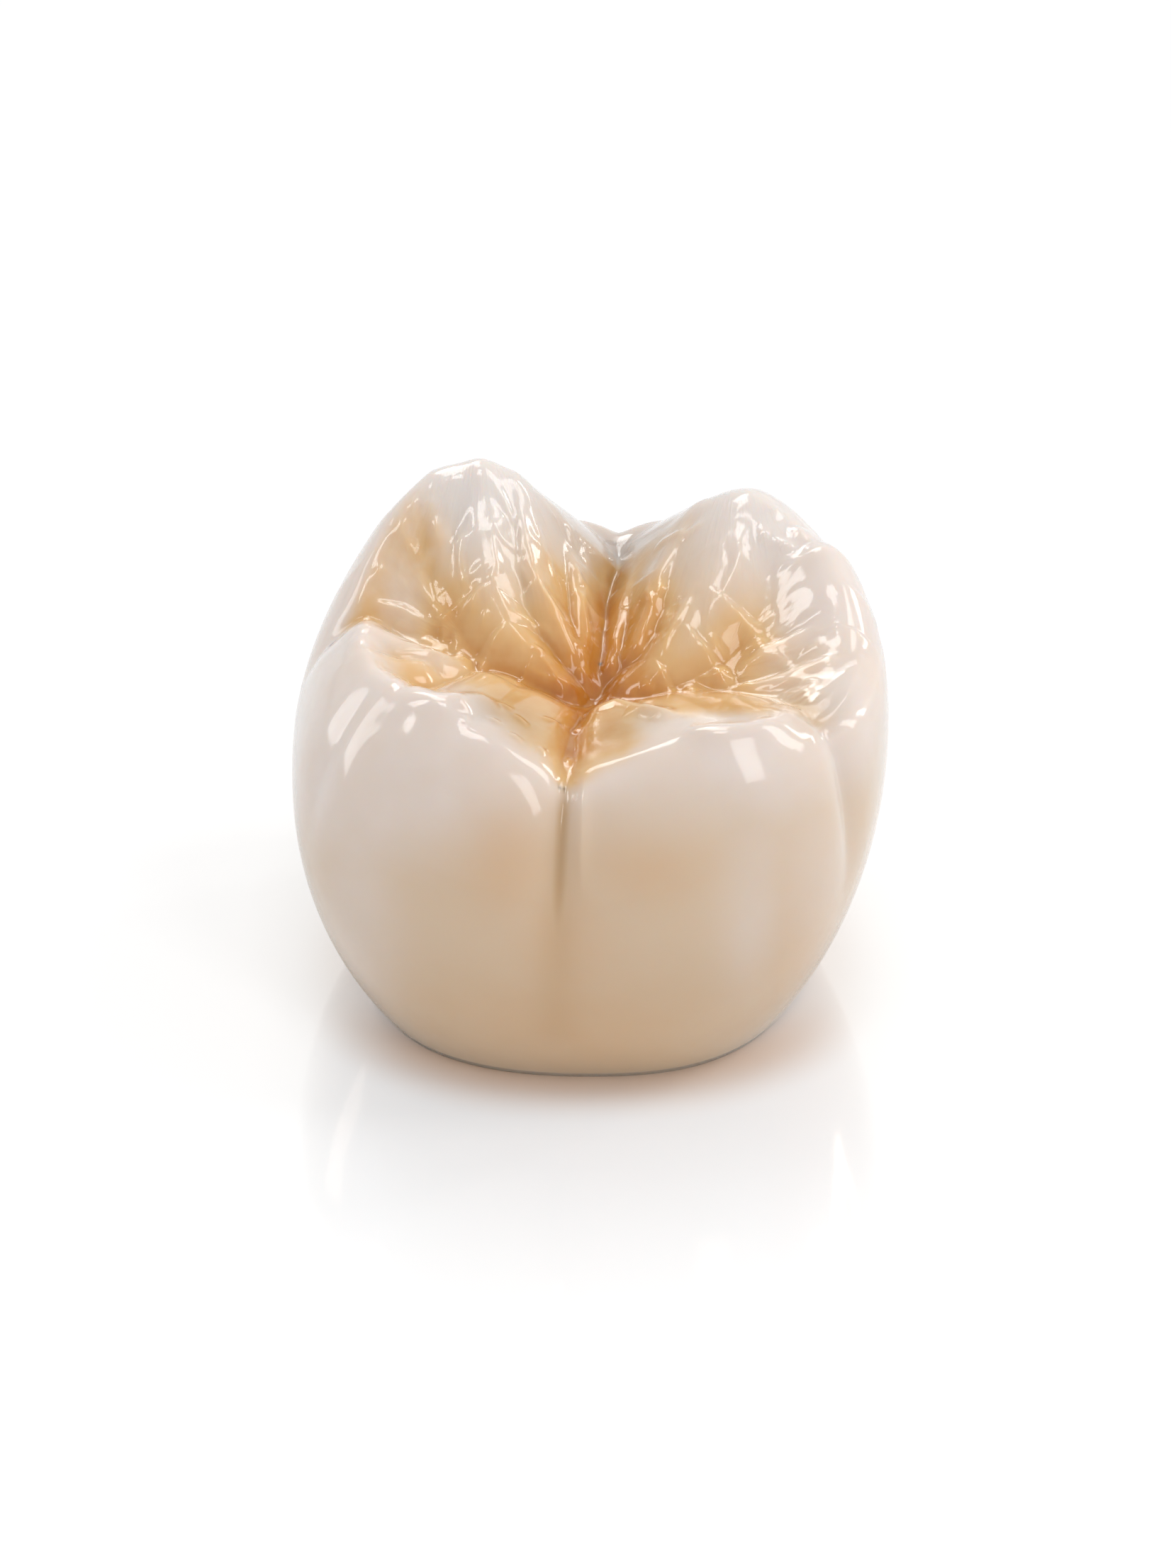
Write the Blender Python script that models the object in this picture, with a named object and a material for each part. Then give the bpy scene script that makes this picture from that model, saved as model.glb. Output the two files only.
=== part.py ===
"""A ceramic crown for a lower first molar, built as one shell.

The outer skin is waxed up the way a dental technician does it: rounded ridges run
from the cusp tips down to the pits, and the valleys left between them are the
grooves. The side walls bulge from the margin to the height of contour and close in
again towards the cusps. The hollow underneath fits over a prepared tooth stump.

The frame: +Z towards the biting surface, -X mesial, +X distal, -Y cheek side,
+Y tongue side. The origin is the centre of the margin plane. Sizes are in
millimetres, and the mesh is written in metres.
"""

import bmesh
import bpy
import numpy as np

MM = 0.001

# Overall size of the crown.
MESIODISTAL = 11.0
BUCCOLINGUAL = 10.2

# Heights above the margin plane.
PIT_HEIGHT = 5.70
TIP_HEIGHTS = {
    "mesiolingual": 9.00,
    "distolingual": 8.38,
    "mesiobuccal": 7.55,
    "distobuccal": 7.14,
    "distal": 7.95,
}

# Plan outlines of the wall: half width, half depth and squareness on each side.
MARGIN_HALF_WIDTH = 4.00
MARGIN_HALF_DEPTH = 3.95
MARGIN_SQUARENESS = {"distal": 2.0, "lingual": 2.4, "mesial": 2.7, "buccal": 2.4}
CONTOUR_SQUARENESS = {"distal": 2.25, "lingual": 2.5, "mesial": 2.6, "buccal": 2.5}

# Where each wall is widest, how far in it has closed by its cusp level, and how
# evenly it closes in.
CONTOUR_HEIGHTS = {"distal": 5.4, "lingual": 4.3, "mesial": 4.3, "buccal": 3.0}
CUSP_LEVELS = {"distal": 8.0, "lingual": 10.0, "mesial": 7.5, "buccal": 7.5}
CLOSING_INS = {"distal": 0.55, "lingual": 1.10, "mesial": 1.32, "buccal": 2.0}
CLOSING_POWER = 2.0
SHOULDER_RADIUS = 0.6

# A height above sloping cusps is this share of it as a distance from them.
SLOPE_SHARE = 0.8

# The hollow for the stump.
LIP_WIDTH = 0.25
MARGIN_WIDTH = 0.80
CHAMFER_HEIGHT = 0.60
STUMP_TAPER = 0.07
OCCLUSAL_THICKNESS = 1.20
ROOF_RISE = 0.45
ROOF_SLOPE_WIDTH = 2.5
STUMP_CORNER_RADIUS = 0.6

# How finely the skins are divided.
SKIN_CELLS = 48
SKIN_RINGS = 9
STUMP_CELLS = 16
STUMP_RINGS = 8

# Every skin point lies on a ray from a hub on the axis. Rays steeper than the cap's
# elevation make the cap, and the others the rings of the wall.
HUB_HEIGHT = 1.8
CAP_ELEVATION = 42.0
RAY_REACH = 12.0
HALVINGS = 34

# The bowl that the ridges stand in: its rise to each side, and how it curves up.
BOWL_RISES = {"distal": 1.3, "lingual": 1.3, "mesial": 1.5, "buccal": 0.8}
BOWL_POWER = 1.5
VALLEY_RADIUS = 0.04

# A ridge's back is an arc of this radius, times the ridge's own fullness.
RIDGE_BACK = 0.5


class Ridge:
    """A ridge of one cusp. Its points are in percent of the half width, the half
    depth, and the rise from the central pit to the cusp tip."""

    def __init__(self, cusp, points, fullness=1.0, slope=0.9):
        self.rise = TIP_HEIGHTS[cusp] - PIT_HEIGHT
        reach = (MESIODISTAL / 2, BUCCOLINGUAL / 2, self.rise)
        self.points = np.array(points) / 100.0 * reach
        self.back = RIDGE_BACK * fullness
        self.slope = slope


RIM_RIDGES = (
    Ridge("mesiolingual", ((-37, 58, 100), (-52, 57, 97), (-66, 49, 85), (-75, 36, 65), (-78, 23, 46)), 0.8, 1.25),
    Ridge("mesiolingual", ((-37, 58, 100), (-26, 60, 92), (-12, 62, 67), (2, 63, 30), (9, 64, 8)), 0.7, 1.2),
    Ridge("distolingual", ((13, 64, 12), (22, 64, 50), (38, 61, 88), (53, 55, 100)), 0.9, 1.2),
    Ridge("distolingual", ((53, 55, 100), (66, 46, 87), (75, 37, 77)), 1.0),
    Ridge("distal", ((79, 34, 100), (83, 21, 84), (83, 6, 64), (80, -10, 46), (75, -22, 38)), 1.0),
    Ridge("distobuccal", ((3, -25, 47), (9, -23, 52), (17, -30, 58), (25, -42, 66)), 0.35, 1.1),
    Ridge("distobuccal", ((25, -42, 66), (33, -57, 86), (44, -63, 100), (55, -59, 97), (63, -49, 88), (64, -38, 76)),
          0.35, 0.38),
    Ridge("distobuccal", ((4, -72, 46), (14, -71, 58), (26, -70, 72), (40, -68, 86), (54, -62, 86), (63, -52, 76)), 1.2, 0.6),
    Ridge("mesiobuccal", ((-13, -72, 20), (-20, -70, 33), (-30, -68, 50), (-40, -64, 67), (-50, -60, 84),
                          (-58, -58, 90)), 0.8, 0.6),
    Ridge("mesiobuccal", ((-36, -42, 80), (-44, -49, 92), (-53, -52, 98), (-60, -47, 99), (-66, -40, 95)), 0.4, 0.9),
    Ridge("mesiobuccal", ((-66, -42, 94), (-74, -28, 88), (-78, -12, 84), (-78, 2, 83), (-76, 12, 80)), 0.6, 1.0),
)

INNER_RIDGES = (
    # tongue side, from mesial to distal
    Ridge("mesiolingual", ((-76, 26, 47), (-62, 19, 38), (-49, 9, 32)), 0.35, 1.1),
    Ridge("mesiolingual", ((-73, 33, 58), (-63, 27, 48), (-51, 15, 36)), 0.35, 1.1),
    Ridge("mesiolingual", ((-66, 42, 73), (-59, 33, 58), (-51, 23, 46), (-46, 12, 37)), 0.35, 1.1),
    Ridge("mesiolingual", ((-55, 52, 88), (-47, 39, 73), (-43, 25, 57), (-39, 13, 43), (-34, 5, 33)), 0.5, 1.2),
    Ridge("mesiolingual", ((-37, 58, 100), (-36, 37, 78), (-33, 20, 58), (-27, 9, 44), (-18, 1, 31),
                           (-9, -5, 19)), 0.9, 1.1),
    Ridge("mesiolingual", ((-25, 56, 86), (-22, 39, 70), (-18, 25, 54), (-11, 15, 39), (-6, 6, 26)), 0.35, 1.3),
    Ridge("mesiolingual", ((-13, 60, 58), (-7, 47, 48), (-4, 31, 38), (-3, 16, 29), (-3, 3, 19)), 0.35, 1.3),
    Ridge("distolingual", ((22, 60, 55), (14, 43, 43), (10, 24, 34), (7, 8, 22)), 0.4, 1.2),
    Ridge("distolingual", ((35, 57, 82), (24, 37, 62), (20, 21, 46), (16, 10, 34)), 0.4, 1.2),
    Ridge("distolingual", ((53, 55, 100), (45, 37, 82), (39, 23, 65), (31, 12, 48), (21, 3, 31), (12, -2, 18)), 1.1),
    Ridge("distolingual", ((61, 51, 96), (55, 37, 78), (51, 25, 60), (48, 16, 46)), 0.4, 1.2),
    Ridge("distolingual", ((69, 43, 88), (62, 31, 68), (55, 20, 50)), 0.35, 1.1),
    # distal side
    Ridge("distal", ((80, 24, 82), (68, 19, 61), (56, 12, 48)), 0.35, 1.1),
    Ridge("distal", ((81, 9, 65), (68, 6, 53), (52, 1, 37)), 0.4, 1.1),
    Ridge("distal", ((79, -7, 50), (68, -9, 41), (51, -10, 27)), 0.4, 1.1),
    # cheek side, from distal to mesial
    Ridge("distobuccal", ((30, -66, 74), (22, -50, 64), (14, -36, 54), (8, -27, 48)), 1.5, 0.8),
    Ridge("distobuccal", ((8, -70, 52), (6, -50, 48), (5, -34, 44)), 1.2, 0.8),
    Ridge("mesiobuccal", ((-18, -70, 36), (-13, -48, 30), (-8, -28, 22)), 0.8, 0.7),
    Ridge("mesiobuccal", ((-28, -67, 58), (-20, -45, 48), (-13, -24, 34)), 0.9, 0.7),
    Ridge("mesiobuccal", ((-40, -62, 80), (-31, -40, 62), (-23, -20, 46), (-17, -12, 34)), 0.9, 0.7),
    Ridge("mesiobuccal", ((-52, -54, 95), (-43, -34, 76), (-35, -17, 60), (-28, -9, 46)), 0.8, 0.8),
    Ridge("mesiobuccal", ((-77, 4, 83), (-63, -1, 70), (-50, -5, 60), (-42, -3, 52)), 0.5, 0.9),
    Ridge("mesiobuccal", ((-78, -14, 84), (-66, -16, 74), (-57, -12, 65)), 0.5, 0.9),
)


class Groove:
    """A carved groove in the biting surface, with points in percent as above."""

    def __init__(self, points, depth=0.16, width=0.20):
        self.points = np.array(points) / 100.0 * (MESIODISTAL / 2, BUCCOLINGUAL / 2)
        self.depth = depth
        self.width = width


CENTRAL_MESIAL = ((2, -6), (-9, -11), (-23, -6), (-33, -3), (-40, 5), (-45, 12))
MESIAL_BRANCH = ((-45, 12), (-51, 25), (-56, 34))
CENTRAL_DISTAL = ((2, -6), (10, -11), (22, -9), (35, -4), (42, -1), (50, 6))
LINGUAL = ((2, -6), (0, 5), (1, 18), (4, 38), (7, 50), (10, 60), (11, 72))
BUCCAL = ((2, -6), (-2, -19), (-6, -33), (-8, -49), (-10, -68), (-10, -84))
MESIOBUCCAL_SIDE = ((-38, -2), (-48, -19), (-53, -28), (-63, -43))
DISTOBUCCAL = ((36, -5), (51, -12), (62, -19), (70, -32), (74, -46))
MESIAL_MARGINAL = ((-47, 9), (-64, 15), (-76, 16), (-86, 18))
GROOVES = (
    Groove(CENTRAL_MESIAL, 0.12),
    Groove(MESIAL_BRANCH, 0.06),
    Groove(CENTRAL_DISTAL, 0.10),
    Groove(LINGUAL, 0.12),
    Groove(BUCCAL, 0.14),
    Groove(MESIOBUCCAL_SIDE, 0.10),
    Groove(DISTOBUCCAL, 0.10),
    Groove(MESIAL_MARGINAL, 0.14),
)


class Furrow:
    """A groove down a side wall: where it starts and ends, how deep and wide it is."""

    def __init__(self, azimuth, top, bottom, depth, width):
        self.azimuth = np.radians(azimuth)
        self.top = top
        self.bottom = bottom
        self.depth = depth
        self.width = width


FURROWS = (
    Furrow(azimuth=263.0, top=5.6, bottom=1.3, depth=0.25, width=0.75),
    Furrow(azimuth=263.0, top=5.8, bottom=3.6, depth=0.13, width=0.24),
    Furrow(azimuth=329.0, top=5.8, bottom=2.6, depth=0.24, width=0.40),
    Furrow(azimuth=83.0, top=6.6, bottom=3.0, depth=0.35, width=0.50),
    Furrow(azimuth=170.0, top=7.0, bottom=5.0, depth=0.18, width=0.35),
    Furrow(azimuth=268.0, top=5.8, bottom=4.2, depth=-0.07, width=0.22),
    Furrow(azimuth=205.0, top=6.0, bottom=3.2, depth=0.10, width=0.55),
    Furrow(azimuth=300.0, top=5.2, bottom=3.0, depth=0.05, width=0.60),
)


def smoothstep(low, high, value):
    share = np.clip((value - low) / (high - low), 0.0, 1.0)
    return share * share * (3.0 - 2.0 * share)


def smooth_min(a, b, radius):
    overlap = np.maximum(radius - np.abs(a - b), 0.0) / radius
    return np.minimum(a, b) - 0.25 * radius * overlap**2


def by_side(azimuth, values):
    """A value given for each of the four sides, blended smoothly round the crown."""
    across, along = np.cos(azimuth), np.sin(azimuth)
    return (
        values["distal"] * np.maximum(across, 0.0) ** 2
        + values["mesial"] * np.maximum(-across, 0.0) ** 2
        + values["lingual"] * np.maximum(along, 0.0) ** 2
        + values["buccal"] * np.maximum(-along, 0.0) ** 2
    )


def superellipse(azimuth, half_width, half_depth, squareness):
    power = by_side(azimuth, squareness)
    across = np.abs(np.cos(azimuth)) / half_width
    along = np.abs(np.sin(azimuth)) / half_depth
    return (across**power + along**power) ** (-1.0 / power)


def margin_radius(azimuth):
    return superellipse(azimuth, MARGIN_HALF_WIDTH, MARGIN_HALF_DEPTH, MARGIN_SQUARENESS)


def furrow_depth(azimuth, height, radius):
    total = 0.0
    for furrow in FURROWS:
        turn = np.angle(np.exp(1j * (azimuth - furrow.azimuth)))
        aside = turn * radius / furrow.width
        fade = smoothstep(furrow.bottom, furrow.top, height)
        total = total + furrow.depth * fade * np.exp(-np.abs(aside) ** 1.5)
    return total


def wall_radius(azimuth, height):
    """How far the side wall is from the crown's axis at this height."""
    margin = margin_radius(azimuth)
    contour = superellipse(azimuth, MESIODISTAL / 2, BUCCOLINGUAL / 2, CONTOUR_SQUARENESS)
    contour_height = by_side(azimuth, CONTOUR_HEIGHTS)
    below = np.clip(1.0 - height / contour_height, 0.0, 1.0)
    above = np.maximum(height - contour_height, 0.0)
    above = above / (by_side(azimuth, CUSP_LEVELS) - contour_height)
    closing = by_side(azimuth, CLOSING_INS) * above**CLOSING_POWER
    radius = contour - (contour - margin) * below**2 - closing
    return radius - furrow_depth(azimuth, height, radius)


def along_line(x, y, points):
    """The distance to a line of points, and the share along each stretch of it."""
    for start, end in zip(points[:-1], points[1:]):
        run = end[:2] - start[:2]
        share = ((x - start[0]) * run[0] + (y - start[1]) * run[1]) / (run @ run)
        share = np.clip(share, 0.0, 1.0)
        aside = np.hypot(x - start[0] - share * run[0], y - start[1] - share * run[1])
        yield start, end, share, aside


def ridge_height(x, y, ridge):
    """The height of one ridge over a point: its spine there, less the fall to the side."""
    best = np.full(np.shape(x), -np.inf)
    for start, end, share, aside in along_line(x, y, ridge.points):
        fall = ridge.back * (np.sqrt(1.0 + (ridge.slope * aside / ridge.back) ** 2) - 1.0)
        best = np.maximum(best, start[2] + share * (end[2] - start[2]) - fall)
    return PIT_HEIGHT + best


def bowl_height(x, y):
    azimuth = np.arctan2(y, x)
    out = np.hypot(x / (MESIODISTAL / 2), y / (BUCCOLINGUAL / 2))
    return PIT_HEIGHT + by_side(azimuth, BOWL_RISES) * np.minimum(out, 1.0) ** BOWL_POWER


def carved_depth(x, y):
    deepest = np.zeros(np.shape(x))
    for groove in GROOVES:
        aside = np.min([a for _, _, _, a in along_line(x, y, groove.points)], axis=0)
        deepest = np.maximum(deepest, groove.depth * np.exp(-((aside / groove.width) ** 1.5)))
    return deepest


def biting_height(x, y):
    """The biting surface: bowl and ridges, joined with a small radius in the valleys."""
    layers = [ridge_height(x, y, ridge) for ridge in RIM_RIDGES + INNER_RIDGES]
    layers = np.array(layers + [bowl_height(x, y)])
    top = layers.max(axis=0)
    spread = np.exp((layers - top) / VALLEY_RADIUS).sum(axis=0)
    return top + VALLEY_RADIUS * np.log(spread) - carved_depth(x, y)


def inside_skin(x, y, z):
    """Above zero inside the crown's outer skin."""
    azimuth = np.arctan2(y, x)
    to_wall = wall_radius(azimuth, z) - np.hypot(x, y)
    to_top = SLOPE_SHARE * (biting_height(x, y) - z)
    return smooth_min(to_wall, to_top, SHOULDER_RADIUS)


def stump_radius(azimuth, height):
    """The hollow's wall: the lip, the rounded chamfer and the tapering side."""
    chamfer = np.clip(1.0 - height / CHAMFER_HEIGHT, 0.0, 1.0)
    inset = MARGIN_WIDTH - (MARGIN_WIDTH - LIP_WIDTH) * chamfer**2
    return margin_radius(azimuth) - inset - STUMP_TAPER * np.maximum(height, 0.0)


def stump_roof(x, y):
    """The hollow's roof, which rises a little under the cusps on both sides."""
    lift = smoothstep(0.0, ROOF_SLOPE_WIDTH, np.abs(y))
    return PIT_HEIGHT - OCCLUSAL_THICKNESS + ROOF_RISE * lift


def inside_stump(x, y, z):
    azimuth = np.arctan2(y, x)
    to_wall = stump_radius(azimuth, z) - np.hypot(x, y)
    return smooth_min(to_wall, stump_roof(x, y) - z, STUMP_CORNER_RADIUS)


def cast(directions, inside):
    """Where rays from the hub leave the shape, found by halving."""
    near = np.zeros(len(directions))
    far = np.full(len(directions), RAY_REACH)
    for _ in range(HALVINGS):
        middle = (near + far) / 2
        x, y, z = (directions * middle[:, None]).T
        within = inside(x, y, z + HUB_HEIGHT) > 0.0
        near = np.where(within, middle, near)
        far = np.where(within, far, middle)
    points = directions * near[:, None]
    points[:, 2] += HUB_HEIGHT
    return points


def cap_directions(cells):
    """Rays over the top, from a square grid pressed into a disc."""
    steps = np.linspace(-1.0, 1.0, cells + 1)
    across, along = np.meshgrid(steps, steps, indexing="ij")
    disc_x = across * np.sqrt(1.0 - along**2 / 2)
    disc_y = along * np.sqrt(1.0 - across**2 / 2)
    lean = np.hypot(disc_x, disc_y) * np.radians(90.0 - CAP_ELEVATION)
    azimuth = np.arctan2(disc_y, disc_x)
    level = np.sin(lean)
    return np.stack([level * np.cos(azimuth), level * np.sin(azimuth), np.cos(lean)], axis=-1)


def rim_of(grid):
    """The border of a square grid, once round, anticlockwise seen from above."""
    return np.concatenate([grid[:-1, 0], grid[-1, :-1], grid[:0:-1, -1], grid[0, :0:-1]])


def dome(bm, inside, foot_radius, cells, rings):
    """A cap and rings of wall down to the margin plane. Gives its faces and its foot."""
    directions = cap_directions(cells)
    size = cells + 1
    points = cast(directions.reshape(-1, 3), inside)
    cap = np.array([bm.verts.new(p * MM) for p in points]).reshape(size, size)
    faces = []
    for i in range(cells):
        for j in range(cells):
            corners = (cap[i, j], cap[i + 1, j], cap[i + 1, j + 1], cap[i, j + 1])
            faces.append(bm.faces.new(corners))
    border = rim_of(directions)
    azimuth = np.arctan2(border[:, 1], border[:, 0])
    foot = foot_radius(azimuth)
    foot_elevation = np.arctan2(-HUB_HEIGHT, foot)
    above = rim_of(cap)
    for ring in range(1, rings + 1):
        share = ring / rings
        elevation = np.radians(CAP_ELEVATION) * (1 - share) + foot_elevation * share
        if ring < rings:
            level = np.cos(elevation)
            rays = np.stack(
                [level * np.cos(azimuth), level * np.sin(azimuth), np.sin(elevation)], axis=-1
            )
            places = cast(rays, inside)
        else:
            places = np.stack(
                [foot * np.cos(azimuth), foot * np.sin(azimuth), 0.0 * foot], axis=-1
            )
        below = [bm.verts.new(p * MM) for p in places]
        count = len(below)
        for k in range(count):
            n = (k + 1) % count
            faces.append(bm.faces.new((above[k], below[k], below[n], above[n])))
        above = below
    return faces, above


def ring_edges(bm, ring):
    return [bm.edges.get((ring[k], ring[(k + 1) % len(ring)])) for k in range(len(ring))]


def make_crown():
    bm = bmesh.new()
    _, outer_foot = dome(bm, inside_skin, margin_radius, SKIN_CELLS, SKIN_RINGS)
    hollow, inner_foot = dome(
        bm,
        inside_stump,
        lambda azimuth: stump_radius(azimuth, 0.0),
        STUMP_CELLS,
        STUMP_RINGS,
    )
    bmesh.ops.reverse_faces(bm, faces=hollow)
    edges = ring_edges(bm, outer_foot) + ring_edges(bm, inner_foot)
    bmesh.ops.bridge_loops(bm, edges=edges)
    bmesh.ops.recalc_face_normals(bm, faces=bm.faces)
    mesh = bpy.data.meshes.new("crown")
    bm.to_mesh(mesh)
    bm.free()
    mesh.shade_smooth()
    mesh.set_sharp_from_angle(angle=np.radians(50.0))
    crown = bpy.data.objects.new("crown", mesh)
    bpy.context.scene.collection.objects.link(crown)
    return crown


def glazed_porcelain():
    material = bpy.data.materials.new("glazed_porcelain")
    material.use_nodes = True
    shader = material.node_tree.nodes["Principled BSDF"]
    shader.inputs["Base Color"].default_value = (0.78, 0.67, 0.54, 1.0)
    shader.inputs["Roughness"].default_value = 0.12
    shader.inputs["Metallic"].default_value = 0.0
    return material


for leftover in list(bpy.data.objects):
    bpy.data.objects.remove(leftover)
make_crown().data.materials.append(glazed_porcelain())
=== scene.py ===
# %% [markdown]
# # A ceramic crown for a lower first molar
# The part is one piece of glazed porcelain, so this lesson makes one mesh. The fixed
# frame brings the crown at its real size, with the main forms only. Here the same
# crown is waxed up again in fine detail, stained, glazed and photographed.

# %% The frame and its size
import math
from collections import namedtuple

import bpy
import numpy as np
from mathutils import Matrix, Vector


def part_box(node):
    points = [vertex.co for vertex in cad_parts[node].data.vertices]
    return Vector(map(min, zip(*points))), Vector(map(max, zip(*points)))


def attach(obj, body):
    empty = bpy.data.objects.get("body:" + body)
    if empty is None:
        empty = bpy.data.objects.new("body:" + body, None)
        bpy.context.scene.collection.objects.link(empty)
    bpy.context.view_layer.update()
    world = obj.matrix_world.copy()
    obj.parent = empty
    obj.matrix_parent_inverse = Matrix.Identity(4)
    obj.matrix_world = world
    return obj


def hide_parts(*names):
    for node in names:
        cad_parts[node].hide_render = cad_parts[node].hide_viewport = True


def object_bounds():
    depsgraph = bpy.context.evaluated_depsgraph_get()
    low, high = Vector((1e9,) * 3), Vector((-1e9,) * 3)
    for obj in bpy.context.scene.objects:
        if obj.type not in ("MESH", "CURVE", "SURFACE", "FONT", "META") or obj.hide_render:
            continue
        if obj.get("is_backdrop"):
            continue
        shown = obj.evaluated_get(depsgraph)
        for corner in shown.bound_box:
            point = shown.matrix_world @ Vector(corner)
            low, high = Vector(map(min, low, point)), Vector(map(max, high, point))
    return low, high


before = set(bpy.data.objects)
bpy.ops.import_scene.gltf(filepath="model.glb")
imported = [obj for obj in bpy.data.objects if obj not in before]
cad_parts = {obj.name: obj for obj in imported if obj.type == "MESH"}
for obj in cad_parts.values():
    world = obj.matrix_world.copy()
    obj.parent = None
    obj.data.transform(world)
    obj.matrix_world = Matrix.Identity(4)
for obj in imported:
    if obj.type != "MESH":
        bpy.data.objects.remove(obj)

CAD_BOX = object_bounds()
CAD_LOW, CAD_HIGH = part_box("crown")
MM = 0.001
print("crown in mm:", [round(side / MM, 2) for side in CAD_HIGH - CAD_LOW])

# %% [markdown]
# ## Sizes of the crown
# All sizes are in millimetres, as in a dental laboratory. -X is mesial, towards the
# front of the jaw, and -Y is the cheek side. Z counts from the margin plane. The pit
# is the low point where the main grooves meet, and each cusp has its own tip height.

# %% Driving sizes
MESIODISTAL = 11.0
BUCCOLINGUAL = 10.2
PIT_HEIGHT = 5.70
TIP_HEIGHTS = {
    "mesiolingual": 9.00,
    "distolingual": 8.38,
    "mesiobuccal": 7.55,
    "distobuccal": 7.14,
    "distal": 7.95,
}
MARGIN_HALF_WIDTH = 4.00
MARGIN_HALF_DEPTH = 3.95
MARGIN_SQUARENESS = {"distal": 2.0, "lingual": 2.4, "mesial": 2.7, "buccal": 2.4}
CONTOUR_SQUARENESS = {"distal": 2.25, "lingual": 2.5, "mesial": 2.6, "buccal": 2.5}
CONTOUR_HEIGHTS = {"distal": 5.4, "lingual": 4.3, "mesial": 4.3, "buccal": 3.0}
CUSP_LEVELS = {"distal": 8.0, "lingual": 10.0, "mesial": 7.5, "buccal": 7.5}
CLOSING_INS = {"distal": 0.55, "lingual": 1.10, "mesial": 1.32, "buccal": 2.0}
CLOSING_POWER = 2.0
SHOULDER_RADIUS = 0.6
SLOPE_SHARE = 0.8
print("tip heights above the pit:", {c: round(h - PIT_HEIGHT, 2) for c, h in TIP_HEIGHTS.items()})

# %% [markdown]
# ## Small helpers
# A smooth step blends one value into another, a smooth minimum rounds the edge where
# two surfaces meet, and a bell fades softly on both sides of a line. `by_side` mixes
# four values round the crown, so each side wall can have its own bulge.

# %% Helpers for blending
def smoothstep(low, high, value):
    share = np.clip((value - low) / (high - low), 0.0, 1.0)
    return share * share * (3.0 - 2.0 * share)


def smooth_min(a, b, radius):
    overlap = np.maximum(radius - np.abs(a - b), 0.0) / radius
    return np.minimum(a, b) - 0.25 * radius * overlap**2


def bell(distance, width):
    return np.exp(-((distance / width) ** 2))


def by_side(azimuth, values):
    across, along = np.cos(azimuth), np.sin(azimuth)
    return (
        values["distal"] * np.maximum(across, 0.0) ** 2
        + values["mesial"] * np.maximum(-across, 0.0) ** 2
        + values["lingual"] * np.maximum(along, 0.0) ** 2
        + values["buccal"] * np.maximum(-along, 0.0) ** 2
    )


print("closing in by side:", [by_side(math.radians(turn), CLOSING_INS) for turn in (0, 90, 180, 270)])

# %% [markdown]
# ## The side wall
# Seen from above, a molar is a rounded square, which a superellipse draws with one
# number for its squareness. The wall starts at the margin, bulges to the height of
# contour and closes in again towards the cusps. Furrows run down it between the
# lobes: the long one on the cheek side divides the two big cheek cusps. A furrow with
# a depth below nought is a soft ridge beside it.

# %% The outline of the crown from above
def superellipse(azimuth, half_width, half_depth, squareness):
    power = by_side(azimuth, squareness)
    across = np.abs(np.cos(azimuth)) / half_width
    along = np.abs(np.sin(azimuth)) / half_depth
    return (across**power + along**power) ** (-1.0 / power)


def margin_radius(azimuth):
    return superellipse(azimuth, MARGIN_HALF_WIDTH, MARGIN_HALF_DEPTH, MARGIN_SQUARENESS)


print("margin half width along the jaw:", margin_radius(0.0))

# %% Furrows on the wall
Furrow = namedtuple("Furrow", "azimuth top bottom depth width")
FURROWS = (
    Furrow(azimuth=263.0, top=5.6, bottom=1.3, depth=0.25, width=0.75),
    Furrow(azimuth=263.0, top=5.8, bottom=3.6, depth=0.13, width=0.24),
    Furrow(azimuth=329.0, top=5.8, bottom=2.6, depth=0.24, width=0.40),
    Furrow(azimuth=83.0, top=6.6, bottom=3.0, depth=0.35, width=0.50),
    Furrow(azimuth=170.0, top=7.0, bottom=5.0, depth=0.18, width=0.35),
    Furrow(azimuth=268.0, top=5.6, bottom=4.2, depth=-0.10, width=0.17),
    Furrow(azimuth=205.0, top=6.0, bottom=3.2, depth=0.10, width=0.55),
    Furrow(azimuth=300.0, top=5.2, bottom=3.0, depth=0.05, width=0.60),
)
LONG_FURROW = FURROWS[0]


def beside_furrow(azimuth, radius, furrow):
    """How far round the wall a place lies from a furrow, in millimetres."""
    return np.angle(np.exp(1j * (azimuth - math.radians(furrow.azimuth)))) * radius


def furrow_depth(azimuth, height, radius):
    total = 0.0
    for furrow in FURROWS:
        aside = beside_furrow(azimuth, radius, furrow) / furrow.width
        fade = smoothstep(furrow.bottom, furrow.top, height)
        total = total + furrow.depth * fade * np.exp(-np.abs(aside) ** 1.5)
    return total


print("furrows:", len(FURROWS))

# %% The wall's distance from the axis
def wall_radius(azimuth, height):
    margin = margin_radius(azimuth)
    contour = superellipse(azimuth, MESIODISTAL / 2, BUCCOLINGUAL / 2, CONTOUR_SQUARENESS)
    contour_height = by_side(azimuth, CONTOUR_HEIGHTS)
    below = np.clip(1.0 - height / contour_height, 0.0, 1.0)
    above = np.maximum(height - contour_height, 0.0)
    above = above / (by_side(azimuth, CUSP_LEVELS) - contour_height)
    closing = by_side(azimuth, CLOSING_INS) * above**CLOSING_POWER
    radius = contour - (contour - margin) * below**2 - closing
    return radius - furrow_depth(azimuth, height, radius)


print("wall radius on the cheek side at 3 mm:", round(float(wall_radius(math.radians(270), 3.0)), 2))

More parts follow.
